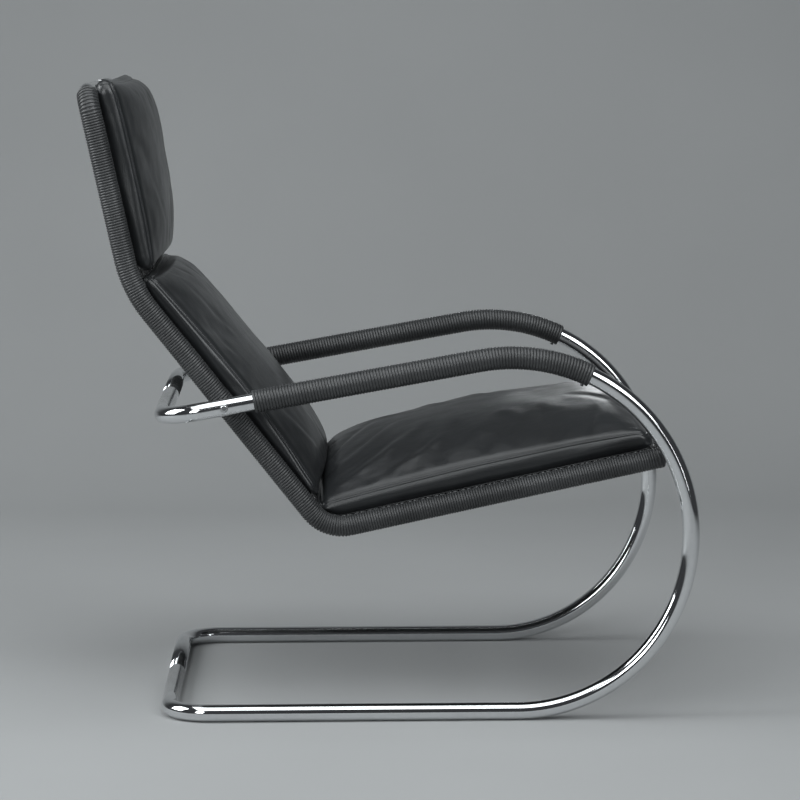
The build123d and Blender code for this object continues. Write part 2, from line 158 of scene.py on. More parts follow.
class Board:
    """A node tree with short calls for adding nodes and joining their sockets."""

    def __init__(self, tree: bpy.types.NodeTree) -> None:
        """Keeps the tree."""
        self.tree = tree

    def feed(self, node: bpy.types.Node, inputs: dict[str | int, object]) -> None:
        """Gives a node's inputs plain values or other nodes' wires.

        Args:
            node: The node.
            inputs: The values, by the input's name or number.
        """
        for name, value in inputs.items():
            if isinstance(value, Wire):
                self.tree.links.new(value.socket, node.inputs[name])
            else:
                node.inputs[name].default_value = value

    def add(self, kind: str, inputs: dict | None = None, **settings: object) -> bpy.types.Node:
        """Adds a node.

        Args:
            kind: The node's type name.
            inputs: Values for its inputs, by name or number.
            **settings: Properties of the node.

        Returns:
            The new node.
        """
        node = self.tree.nodes.new(kind)
        for name, value in settings.items():
            setattr(node, name, value)
        self.feed(node, inputs or {})
        return node

    def wire(
        self, kind: str, inputs: dict | None = None, output: str | int = 0, **settings: object
    ) -> Wire:
        """Adds a node for the sake of one output.

        Args:
            kind: The node's type name.
            inputs: Values for its inputs, by name or number.
            output: The output's name or number.
            **settings: Properties of the node.

        Returns:
            The output's wire.
        """
        return Wire(self, self.add(kind, inputs, **settings).outputs[output])

    def math(self, operation: str, *values: object) -> Wire:
        """Adds a Math node on plain numbers or wires."""
        return self.wire("ShaderNodeMath", dict(enumerate(values)), operation=operation)

    def vector(self, operation: str, *values: object) -> Wire:
        """Adds a Vector Math node on plain vectors or wires."""
        return self.wire("ShaderNodeVectorMath", dict(enumerate(values)), operation=operation)

    def scaled(self, vector: Wire, factor: object) -> Wire:
        """A vector times a number."""
        inputs = {"Vector": vector, "Scale": factor}
        return self.wire("ShaderNodeVectorMath", inputs, operation="SCALE")

    def triple(self, x: object = 0.0, y: object = 0.0, z: object = 0.0) -> Wire:
        """A vector from three numbers or wires."""
        return self.wire("ShaderNodeCombineXYZ", {0: x, 1: y, 2: z})

    def noise(self, place: Wire, scale: object, detail: float) -> Wire:
        """A noise value, with a number of features per metre and of octaves."""
        return self.wire("ShaderNodeTexNoise", {"Vector": place, "Scale": scale, "Detail": detail})

    def ranged(
        self, value: Wire, low: float, high: float, to_low: float = 0.0, to_high: float = 1.0
    ) -> Wire:
        """Maps a value's range to another, clamped.

        Args:
            value: The value to map.
            low: The value that becomes to_low.
            high: The value that becomes to_high.
            to_low: The result at low.
            to_high: The result at high.

        Returns:
            The result.
        """
        return self.wire("ShaderNodeMapRange", dict(enumerate((value, low, high, to_low, to_high))))

    def mixed(self, share: Wire, first: Wire | Colour, second: Wire | Colour) -> Wire:
        """Mixes two colours.

        Args:
            share: How much of the second there is.
            first: The first colour.
            second: The second colour.

        Returns:
            The mixed colour.
        """
        node = self.add("ShaderNodeMix", {"Factor": share}, data_type="RGBA")
        sockets = [index for index, socket in enumerate(node.inputs) if socket.type == "RGBA"]
        for index, colour in zip(sockets, (first, second)):
            self.feed(node, {index: colour if isinstance(colour, Wire) else (*colour, 1.0)})
        return Wire(self, next(socket for socket in node.outputs if socket.type == "RGBA"))


class Group(Board):
    """A node group in the making, with wires from its inputs."""

    KINDS = {float: "NodeSocketFloat", int: "NodeSocketInt", Vector: "NodeSocketVector"}

    def __init__(
        self, name: str, kind: str, inputs: dict[str, object], outputs: dict[str, object]
    ) -> None:
        """Starts the group.

        Args:
            name: The group's name.
            kind: ShaderNodeTree or GeometryNodeTree.
            inputs: What each input carries, as a Python type or a socket type's name.
            outputs: What each output carries.
        """
        super().__init__(bpy.data.node_groups.new(name, kind))
        for ports, direction in ((inputs, "INPUT"), (outputs, "OUTPUT")):
            for port, carried in ports.items():
                socket_type = self.KINDS.get(carried, carried)
                self.tree.interface.new_socket(port, in_out=direction, socket_type=socket_type)
        given = self.add("NodeGroupInput").outputs
        self.given = {port: Wire(self, given[port]) for port in inputs}

    def close(self, results: dict[str, Wire]) -> bpy.types.NodeTree:
        """Ends the group with its results, by output name."""
        self.add("NodeGroupOutput", results)
        return self.tree


# ---------------------------------------------------------------- shared shader effects
def shader_group(name: str, output: str, *sizes: str) -> Group:
    """Starts a shader group with a Vector input and numbers, and with one output.

    Args:
        name: The group's name.
        output: Its output's name.
        *sizes: Names of the inputs that are numbers.

    Returns:
        The group.
    """
    inputs = {"Vector": Vector, **{size: float for size in sizes}}
    return Group(name, "ShaderNodeTree", inputs, {output: float})


def grain_group() -> bpy.types.NodeTree:
    """Pebbled hide: fine closed cells broken by soft creases.

    Returns:
        A group with the output Height, 0 to 1.
    """
    warp_reach, cell_edge, crease_width, pebble_share = 0.0006, 0.75, 0.045, 0.55
    group = shader_group("Hide grain", "Height", "Cells", "Creases")
    given = group.given
    warp = group.scaled(group.wire("ShaderNodeTexNoise", output="Color"), warp_reach)
    place = group.vector("ADD", given["Vector"], warp)
    inputs = {"Vector": place, "Scale": given["Cells"]}
    distance = group.wire("ShaderNodeTexVoronoi", inputs, "Distance", feature="SMOOTH_F1")
    pebble = group.ranged(distance, 0.0, cell_edge, 1.0, 0.0)
    ridge = group.noise(given["Vector"], given["Creases"], 5.0) - 0.5
    crease = group.ranged(group.math("ABSOLUTE", ridge), 0.0, crease_width)
    return group.close({"Height": pebble * pebble_share + crease * (1 - pebble_share)})


def rub_group() -> bpy.types.NodeTree:
    """Handling marks: broad soft patches with finer smears in them.

    Returns:
        A group with the output Mask, 0 where untouched and 1 where rubbed.
    """
    smear_share, untouched, rubbed = 0.35, 0.38, 0.62
    group = shader_group("Rubbed patches", "Mask", "Patches", "Smears")
    given = group.given
    patches = group.noise(given["Vector"], given["Patches"], 3.0)
    smears = group.noise(given["Vector"], given["Smears"], 4.0)
    both = smears * smear_share + patches * (1 - smear_share)
    return group.close({"Mask": group.ranged(both, untouched, rubbed)})


def dust_group() -> bpy.types.NodeTree:
    """Dust that has settled on upward faces.

    Returns:
        A group with the output Mask.
    """
    steepest, bare, covered = 0.2, 0.55, 0.75
    group = shader_group("Settled dust", "Mask", "Specks", "Amount")
    given = group.given
    normal = group.wire("ShaderNodeNewGeometry", output="Normal")
    upward = group.wire("ShaderNodeSeparateXYZ", {0: normal}, "Z")
    facing = group.ranged(upward, steepest, 1.0)
    specks = group.ranged(group.noise(given["Vector"], given["Specks"], 2.0), bare, covered)
    return group.close({"Mask": specks * facing * given["Amount"]})


@dataclass
class Effects:
    """The shader groups that several finishes share, built once."""

    grain: bpy.types.NodeTree = field(default_factory=grain_group)
    rub: bpy.types.NodeTree = field(default_factory=rub_group)
    dust: bpy.types.NodeTree = field(default_factory=dust_group)


# ---------------------------------------------------------------- finishes
class Surface(Board):
    """A material in the making, with its coordinates and the effects that finishes share."""

    def __init__(self, tree: bpy.types.NodeTree, effects: Effects) -> None:
        """Keeps the effects and reads the Object coordinates.

        Args:
            tree: The material's node tree.
            effects: The shared shader groups.
        """
        super().__init__(tree)
        self.effects = effects
        self.place = self.wire("ShaderNodeTexCoord", output="Object")

    def effect(self, group: bpy.types.NodeTree, **sizes: float) -> Wire:
        """Places a shared group, with its sizes by input name."""
        return self.wire("ShaderNodeGroup", {"Vector": self.place, **sizes}, node_tree=group)

    def bump(self, height: Wire, depth: float, below: Wire | None = None) -> Wire:
        """Turns a height into a normal.

        Args:
            height: The height, 0 to 1.
            depth: What a height of 1 is, in metres.
            below: A coarser bump's normal, if there is one.

        Returns:
            The normal.
        """
        coarser = {} if below is None else {"Normal": below}
        return self.wire("ShaderNodeBump", {"Distance": depth, "Height": height, **coarser})


@dataclass(frozen=True)
class Finish:
    """A finish with a name, a base colour and a roughness."""

    name: str
    colour: Colour
    roughness: float
    metallic: float = 0.0

    def material(self, effects: Effects) -> bpy.types.Material:
        """Builds the finish's material.

        Args:
            effects: The shared shader groups.

        Returns:
            The material, with a Principled shader.
        """
        material = bpy.data.materials.new(self.name)
        material.use_nodes = True
        surface = Surface(material.node_tree, effects)
        shader = surface.tree.nodes["Principled BSDF"]
        plain = {"Base Color": (*self.colour, 1.0), "Roughness": self.roughness}
        surface.feed(shader, {**plain, "Metallic": self.metallic})
        surface.feed(shader, self.detail(surface))
        return material

    def detail(self, surface: Surface) -> dict[str, object]:
        """Works out what varies over the surface.

        Args:
            surface: The material in the making.

        Returns:
            Inputs for the Principled shader.
        """
        raise NotImplementedError

    def toned(self, factor: float) -> Colour:
        """The finish's colour, lighter or darker by a factor."""
        return tuple(factor * value for value in self.colour)


@dataclass(frozen=True)
class ChromeFinish(Finish):
    """Bright plating with faint smears from hands and polishing."""

    smear: float = 0.05
    dulled: float = 0.93
    metallic: float = 1.0

    def detail(self, surface: Surface) -> dict[str, object]:
        """Smears in the roughness and a trace of them in the colour."""
        mask = surface.effect(surface.effects.rub, Patches=9.0, Smears=140.0)
        dust = surface.effect(surface.effects.dust, Specks=700.0, Amount=0.12)
        smeared = surface.ranged(mask, 0.0, 1.0, self.roughness, self.roughness + self.smear)
        colour = surface.mixed(mask, self.colour, self.toned(self.dulled))
        return {"Roughness": smeared + dust, "Base Color": colour}


@dataclass(frozen=True)
class SteelFinish(Finish):
    """Drawn or turned steel with fine lines across the chair."""

    metallic: float = 1.0
    dulled: float = 0.8
    roughness_range: float = 0.08
    line_scale: tuple[float, float, float] = (2200.0, 60.0, 2200.0)
    line_values: tuple[float, float] = (0.3, 0.7)
    line_depth: float = 0.00002

    def detail(self, surface: Surface) -> dict[str, object]:
        """Drawing lines and a few dull patches."""
        stretched = surface.vector("MULTIPLY", surface.place, self.line_scale)
        lines = surface.noise(stretched, 1.0, 3.0)
        mask = surface.effect(surface.effects.rub, Patches=7.0, Smears=60.0)
        least, most = self.roughness - self.roughness_range, self.roughness + self.roughness_range
        return {
            "Roughness": surface.ranged(lines, *self.line_values, least, most),
            "Base Color": surface.mixed(mask, self.colour, self.toned(self.dulled)),
            "Normal": surface.bump(lines, self.line_depth),
        }


@dataclass(frozen=True)
class LeatherFinish(Finish):
    """Smooth black hide: fine grain, soft creases, a rubbed sheen and a little dust."""

    rubbed_colour: Colour = (0.024, 0.026, 0.028)
    rubbed_share: float = 0.45
    roughness_range: float = 0.05
    dust_colour: Colour = (0.2, 0.2, 0.2)
    grain_depth: float = 0.00010
    crease_depth: float = 0.0009
    crease_scale: float = 21.0
    crease_stretch: tuple[float, float, float] = (1.0, 1.7, 1.0)

    def detail(self, surface: Surface) -> dict[str, object]:
        """Grain, creases, rubbed patches and dust."""
        grain = surface.effect(surface.effects.grain, Cells=1100.0, Creases=24.0)
        mask = surface.effect(surface.effects.rub, Patches=6.0, Smears=38.0)
        dust = surface.effect(surface.effects.dust, Specks=650.0, Amount=0.06)
        tone = surface.mixed(mask * self.rubbed_share, self.colour, self.rubbed_colour)
        most, least = self.roughness + self.roughness_range, self.roughness - self.roughness_range
        stretched = surface.vector("MULTIPLY", surface.place, self.crease_stretch)
        soft = surface.bump(surface.noise(stretched, self.crease_scale, 3.0), self.crease_depth)
        return {
            "Specular IOR Level": 0.5,
            "Coat Weight": 0.12,
            "Coat Roughness": 0.28,
            "Base Color": surface.mixed(dust, tone, self.dust_colour),
            "Roughness": surface.ranged(mask, 0.0, 1.0, most, least) + dust,
            "Normal": surface.bump(grain, self.grain_depth, soft),
        }


@dataclass(frozen=True)
class CordFinish(Finish):
    """Round leather cord: fine grain, rubbed patches and a little dust."""

    rubbed_colour: Colour = (0.06, 0.062, 0.064)
    rubbed_share: float = 0.5
    rougher: float = 0.08
    smoother: float = 0.06
    dust_colour: Colour = (0.22, 0.22, 0.22)
    grain_depth: float = 0.00008

    def detail(self, surface: Surface) -> dict[str, object]:
        """Fine grain, and polish where arms have lain."""
        grain = surface.effect(surface.effects.grain, Cells=2600.0, Creases=160.0)
        mask = surface.effect(surface.effects.rub, Patches=12.0, Smears=210.0)
        dust = surface.effect(surface.effects.dust, Specks=900.0, Amount=0.10)
        tone = surface.mixed(mask * self.rubbed_share, self.colour, self.rubbed_colour)
        most, least = self.roughness + self.rougher, self.roughness - self.smoother
        return {
            "Specular IOR Level": 0.55,
            "Base Color": surface.mixed(dust, tone, self.dust_colour),
            "Roughness": surface.ranged(mask, 0.0, 1.0, most, least),
            "Normal": surface.bump(grain, self.grain_depth),
        }


@dataclass(frozen=True)
class ThreadFinish(Finish):
    """Black thread, tape or moulded plastic with a fine twist or weave."""

    rib_scale: float = 1800.0
    rib_depth: float = 0.00012
    lightened: float = 2.2

    def detail(self, surface: Surface) -> dict[str, object]:
        """Ribs and a slight change of tone."""
        ribs = surface.noise(surface.place, self.rib_scale, 2.0)
        colour = surface.mixed(ribs, self.colour, self.toned(self.lightened))
        return {"Base Color": colour, "Normal": surface.bump(ribs, self.rib_depth)}


@dataclass(frozen=True)
class StageFinish(Finish):
    """Matt painted paper with the faintest mottling, clear from behind."""

    mottling: float = 0.06
    mottling_scale: float = 1.3

    def detail(self, surface: Surface) -> dict[str, object]:
        """Mottling, and a clear back so that a camera behind the paper sees through it."""
        nodes = surface.tree.nodes
        paper = Wire(surface, nodes["Principled BSDF"].outputs[0])
        behind = surface.wire("ShaderNodeNewGeometry", output="Backfacing")
        clear = surface.wire("ShaderNodeBsdfTransparent")
        either = surface.wire("ShaderNodeMixShader", {0: behind, 1: paper, 2: clear})
        surface.feed(nodes["Material Output"], {"Surface": either})
        low, high = self.toned(1 - self.mottling), self.toned(1 + self.mottling)
        cloud = surface.noise(surface.place, self.mottling_scale, 4.0)
        return {"Specular IOR Level": 0.2, "Base Color": surface.mixed(cloud, low, high)}


class Palette:
    """Every finish of the chair as a material."""

    FINISHES: dict[Slot, Finish] = {
        Slot.CHROME: ChromeFinish("Bright chrome", (0.78, 0.79, 0.80), 0.045),
        Slot.SPIGOT: SteelFinish("Drawn steel", (0.55, 0.55, 0.55), 0.32),
        Slot.PIN: SteelFinish("Spring steel", (0.42, 0.42, 0.43), 0.36),
        Slot.SCREW: ChromeFinish("Plated screw", (0.76, 0.77, 0.78), 0.09),
        Slot.SPACER: ChromeFinish("Plated spacer", (0.72, 0.73, 0.74), 0.12),
        Slot.INSERT: SteelFinish("Zinc plate", (0.60, 0.59, 0.52), 0.38),
        Slot.TACK: ThreadFinish("Black tack", (0.012, 0.012, 0.012), 0.4),
        Slot.CORD: CordFinish("Wound leather cord", (0.020, 0.021, 0.022), 0.40),
        Slot.WEB: CordFinish("Woven leather cord", (0.018, 0.018, 0.019), 0.48),
        Slot.TAPE: ThreadFinish("Hook and loop tape", (0.010, 0.010, 0.010), 0.85),
        Slot.LEATHER: LeatherFinish("Black hide", (0.009, 0.010, 0.011), 0.34),
        Slot.ZIP: ThreadFinish("Black zip", (0.012, 0.012, 0.012), 0.5, rib_scale=900.0),
    }
    THREAD = ThreadFinish("Sewing thread", (0.022, 0.023, 0.025), 0.55)
    STAGE = StageFinish("Studio paper", (0.322, 0.328, 0.330), 0.9)

    def __init__(self) -> None:
        """Builds the shared groups, then a material for each slot."""
        effects = Effects()
        self.materials = {slot: made.material(effects) for slot, made in self.FINISHES.items()}
        self.thread = self.THREAD.material(effects)
        self.stage = self.STAGE.material(effects)

    def dress(self, piece: bpy.types.Object, slot: Slot) -> None:
        """Gives a piece the material of a slot."""
        piece.data.materials.clear()
        piece.data.materials.append(self.materials[slot])


# ---------------------------------------------------------------- lines and meshes
def heading(angle: float) -> Vector:
    """Unit vector in the XZ plane, 0 along +X and 90 along +Z."""
    return Vector((math.cos(math.radians(angle)), 0.0, math.sin(math.radians(angle))))


def left_of(direction: Vector) -> Vector:
    """The direction turned a quarter turn towards +Z from +X."""
    return Vector((-direction.z, 0.0, direction.x))


def rounded(
    corners: Sequence[Vector], radii: Sequence[float], step: float = CORNER_STEP
) -> list[Vector]:
    """A path of straight runs with an arc at each inner corner.

    Args:
        corners: The path's corners and ends.
        radii: One radius for each inner corner.
        step: The largest turn between two points of an arc.

    Returns:
        The path's points.
    """
    points = [corners[0].copy()]
    for before, corner, after, radius in zip(corners, corners[1:], corners[2:], radii):
        into = (corner - before).normalized()
        out = (after - corner).normalized()
        turn = into.angle(out)
        inward = (out - into * out.dot(into)).normalized()
        start = corner - into * radius * math.tan(turn / 2)
        centre = start + inward * radius
        count = max(2, math.ceil(math.degrees(turn) / step))
        for index in range(count + 1):
            angle = turn * index / count
            across, ahead = inward * radius * math.cos(angle), into * radius * math.sin(angle)
            points.append(centre - across + ahead)
    points.append(corners[-1].copy())
    return points


def arc(centre: Vector, radius: float, start: float, turn: float) -> list[Vector]:
    """Points of an arc in the XZ plane.

    Args:
        centre: The arc's centre.
        radius: The arc's radius.
        start: Where it starts, as a heading from the centre.
        turn: How far it goes round.

    Returns:
        The arc's points, ends included.
    """
    count = max(2, math.ceil(abs(turn) / ARC_STEP))
    return [centre + heading(start + turn * index / count) * radius for index in range(count + 1)]


def distinct(points: Sequence[Vector]) -> list[Vector]:
    """A path without points that repeat the one before.

    Args:
        points: The path.

    Returns:
        The points that are kept.
    """
    kept = [points[0]]
    for point in points[1:]:
        if (point - kept[-1]).length > SAME_POINT:
            kept.append(point)
    return kept


def part_of(points: Sequence[Vector], start: float, end: float) -> list[Vector]:
    """The stretch of a path between two lengths along it.

    Args:
        points: The path.
        start: Where the stretch starts, from the path's start.
        end: Where it ends, from the path's start.

    Returns:
        The stretch's points.
    """
    stretch: list[Vector] = []
    travelled = 0.0
    for here, there in zip(points, points[1:]):
        run = (there - here).length
        if travelled + run > start and travelled < end:
            first = max(0.0, (start - travelled) / run)
            last = min(1.0, (end - travelled) / run)
            stretch += [here.lerp(there, first), here.lerp(there, last)]
        travelled += run
    return distinct(stretch)


def path_length(points: Sequence[Vector]) -> float:
    """Length of a path."""
    return sum((there - here).length for here, there in zip(points, points[1:]))


def cells(grid: np.ndarray) -> list[tuple[int, int, int, int]]:
    """Corners of each cell of a grid of vertex numbers, in order round it."""
    corners = (grid[:-1, :-1], grid[1:, :-1], grid[1:, 1:], grid[:-1, 1:])
    return list(zip(*(corner.ravel().tolist() for corner in corners)))


def new_piece(name: str, mesh: bpy.types.Mesh) -> bpy.types.Object:
    """Puts a mesh into the scene as an object at the origin.

    Args:
        name: The object's name.
        mesh: Its mesh.

    Returns:
        The object.
    """
    piece = bpy.data.objects.new(name, mesh)
    bpy.context.scene.collection.objects.link(piece)
    return piece


def tube(name: str, path: Sequence[Vector], radius: float) -> bpy.types.Object:
    """A smooth round bar along a path, closed at both ends.

    Args:
        name: The piece's name.
        path: Its centre-line.
        radius: Its radius.

    Returns:
        The new object.
    """
    points = np.array([tuple(point) for point in distinct(path)])
    runs = np.diff(points, axis=0)
    runs /= np.linalg.norm(runs, axis=1)[:, None]
    tangents = np.vstack([runs[:1], runs[:-1] + runs[1:], runs[-1:]])
    tangents /= np.linalg.norm(tangents, axis=1)[:, None]
    normal = np.cross(tangents[0], (0.0, 0.0, 1.0))
    if np.linalg.norm(normal) < NEARLY_UPRIGHT:
        normal = np.cross(tangents[0], (0.0, 1.0, 0.0))
    sides = TUBE_SIDES
    angles = (np.arange(sides) * 2 * math.pi / sides)[:, None]
    rings = []
    for point, tangent in zip(points, tangents):
        normal = normal - tangent * normal.dot(tangent)
        normal /= np.linalg.norm(normal)
        other = np.cross(tangent, normal)
        rings.append(point + radius * (np.cos(angles) * normal + np.sin(angles) * other))
    faces = []
    for ring in range(len(points) - 1):
        for side in range(sides):
            here, beside = ring * sides + side, ring * sides + (side + 1) % sides
            faces.append((here, beside, beside + sides, here + sides))
    last = len(rings) * sides
    ends = (tuple(reversed(range(sides))), tuple(range(last - sides, last)))
    mesh = bpy.data.meshes.new(name)
    mesh.from_pydata(np.vstack(rings).tolist(), [], [*faces, *ends])
    mesh.polygons.foreach_set("use_smooth", [True] * len(faces) + [False] * len(ends))
    return new_piece(name, mesh)


def thread_line(name: str, path: Sequence[Vector], closed: bool = False) -> bpy.types.Object:
    """A path as a mesh of edges, for a geometry tree to grow on.

    Args:
        name: The new object's name.
        path: The path.
        closed: Whether its end joins its start.

    Returns:
        The new object.
    """
    mesh = bpy.data.meshes.new(name)
    edges = [(index, index + 1) for index in range(len(path) - 1)]
    if closed:
        edges.append((len(path) - 1, 0))
    mesh.from_pydata([tuple(point) for point in path], edges, [])
    return new_piece(name, mesh)


def grown(
    name: str, line: bpy.types.Object, tree: bpy.types.NodeTree, **values: object
) -> bpy.types.Object:
    """Runs a geometry tree on a line and keeps the result as a plain mesh.

    Args:
        name: The new piece's name.
        line: The object that the tree reads. It is removed.
        tree: The geometry tree.
        **values: The tree's inputs by name, with _ for a space.

    Returns:
        The new object.
    """
    modifier = line.modifiers.new("Grow", "NODES")
    modifier.node_group = tree
    inputs = (item for item in tree.interface.items_tree if item.in_out == "INPUT")
    sockets = {item.name: item.identifier for item in inputs}
    for word, value in values.items():
        modifier[sockets[word.replace("_", " ")]] = value
    line.update_tag()
    bpy.context.view_layer.update()
    depsgraph = bpy.context.evaluated_depsgraph_get()
    mesh = bpy.data.meshes.new_from_object(line.evaluated_get(depsgraph))
    mesh.name = name
    line.modifiers.clear()
    bpy.data.objects.remove(line)
    return new_piece(name, mesh)


# ---------------------------------------------------------------- geometry trees
class Sprout(Group):
    """A geometry tree that grows cords or stitches on a line."""

    def __init__(self, name: str, **inputs: type) -> None:
        """Starts the tree.

        Args:
            name: The tree's name.
            **inputs: What its own inputs carry, with _ for a space in their names.
        """
        geometry = {"Geometry": "NodeSocketGeometry"}
        own = {word.replace("_", " "): carried for word, carried in inputs.items()}
        ports = {**geometry, **own, "Material": "NodeSocketMaterial"}
        super().__init__(name, "GeometryNodeTree", ports, geometry)
        self.guide = self.wire("GeometryNodeMeshToCurve", {0: self.given["Geometry"]})

    def guide_length(self) -> Wire:
        """The length of the line that the tree grows on."""
        return self.wire("GeometryNodeCurveLength", {0: self.guide})

    def resampled(self, curve: Wire, count: Wire) -> Wire:
        """A curve with a number of evenly spaced points."""
        inputs = {"Curve": curve, "Count": count}
        return self.wire("GeometryNodeResampleCurve", inputs, mode="COUNT")

    def swept(self, curve: Wire, radius: Wire, sides: Wire | int, flat: Wire | float = 1.0) -> Wire:
        """Sweeps a round or flattened section along curves.

        Args:
            curve: The curves.
            radius: The section's radius.
            sides: Faces round it.
            flat: Its thickness along the curve's normal, as a share of its width.

        Returns:
            The mesh.
        """
        inputs = {"Resolution": sides, "Radius": radius}
        section = self.wire("GeometryNodeCurvePrimitiveCircle", inputs)
        squeeze = self.triple(flat, 1.0, 1.0)
        squeezed = self.wire("GeometryNodeTransform", {"Geometry": section, "Scale": squeeze})
        inputs = {"Curve": curve, "Profile Curve": squeezed, "Fill Caps": True}
        return self.wire("GeometryNodeCurveToMesh", inputs)

    def joined(self, *parts: Wire) -> Wire:
        """Several geometries as one.

        Args:
            *parts: The geometries.

        Returns:
            All of them.
        """
        node = self.add("GeometryNodeJoinGeometry")
        for part in parts:
            self.feed(node, {0: part})
        return Wire(self, node.outputs[0])

    def finish(self, geometry: Wire) -> bpy.types.NodeTree:
        """Ends the tree: smooth, realized, and with its material.

        Args:
            geometry: What the tree has grown.

        Returns:
            The tree.
        """
        smooth = self.wire("GeometryNodeSetShadeSmooth", {"Geometry": geometry})
        real = self.wire("GeometryNodeRealizeInstances", {0: smooth})
        inputs = {"Geometry": real, "Material": self.given["Material"]}
        return self.close({"Geometry": self.wire("GeometryNodeSetMaterial", inputs)})


def winding_tree() -> bpy.types.NodeTree:
    """A cord wound closely round a path, as one unbroken helix.

    Returns:
        The geometry tree.
    """
    lining_sides, drift_scale, creep = 40, 0.9, 1.5
    tree = Sprout(
        "Cord winding",
        Winding_Radius=float,
        Cord_Radius=float,
        Pitch=float,
        Points_per_Turn=float,
        Cord_Sides=int,
        Flatness=float,
        Unevenness=float,
        Seed=float,
    )
    given = tree.given
    turns = tree.math("ROUND", tree.guide_length() / given["Pitch"])
    even = tree.resampled(tree.guide, turns * given["Points per Turn"] + 1.0)
    along = tree.wire("GeometryNodeSplineParameter", output="Factor") * turns
    angle = along * (2 * math.pi)
    normal = tree.wire("GeometryNodeInputNormal")
    tangent = tree.wire("GeometryNodeInputTangent")
    beside = tree.vector("CROSS_PRODUCT", tangent, normal)
    inputs = {"W": along + given["Seed"], "Scale": drift_scale}
    drift = tree.wire("ShaderNodeTexNoise", inputs, noise_dimensions="1D")
    uneven = (drift - 0.5) * 2.0 * given["Unevenness"]
    radius = given["Winding Radius"] + uneven
    out = tree.scaled(normal, tree.math("COSINE", angle) * radius)
    over = tree.scaled(beside, tree.math("SINE", angle) * radius)
    kept = tree.add("GeometryNodeCaptureAttribute")
    kept.capture_items.new("VECTOR", "Radial")
    kept.capture_items.new("VECTOR", "Tangent")
    tree.feed(kept, {"Geometry": even, "Radial": tree.vector("ADD", out, over), "Tangent": tangent})
    words = ("Geometry", "Radial", "Tangent")
    curve, radial, ahead = (Wire(tree, kept.outputs[word]) for word in words)
    inputs = {"Curve": curve, "Normal": tree.vector("NORMALIZE", radial)}
    aimed = tree.wire("GeometryNodeSetCurveNormal", inputs, mode="FREE")
    offset = tree.vector("ADD", radial, tree.scaled(ahead, uneven * creep))
    moved = tree.wire("GeometryNodeSetPosition", {"Geometry": aimed, "Offset": offset})
    cord = tree.swept(moved, given["Cord Radius"], given["Cord Sides"], given["Flatness"])
    lining = tree.swept(tree.guide, given["Winding Radius"], lining_sides)
    return tree.finish(tree.joined(cord, lining))


def stitch_tree() -> bpy.types.NodeTree:
    """A row of stitches along a line.

    Returns:
        The geometry tree.
    """
    tree = Sprout("Stitch row", Pitch=float, Stitch_Length=float, Thread_Thickness=float)
    inputs = {"Curve": tree.guide, "Length": tree.given["Pitch"]}
    even = tree.wire("GeometryNodeResampleCurve", inputs, mode="LENGTH")
    tangent = tree.wire("GeometryNodeInputTangent")
    thickness = tree.given["Thread Thickness"]
    inputs = {"Segments": 6, "Rings": 5, "Radius": 0.5}
    stitch = tree.wire("GeometryNodeMeshUVSphere", inputs)
    inputs = {
        "Points": even,
        "Instance": stitch,
        "Rotation": tree.wire("FunctionNodeAlignRotationToVector", {"Vector": tangent}, axis="Z"),
        "Scale": tree.triple(thickness, thickness, tree.given["Stitch Length"]),
    }
    return tree.finish(tree.wire("GeometryNodeInstanceOnPoints", inputs))


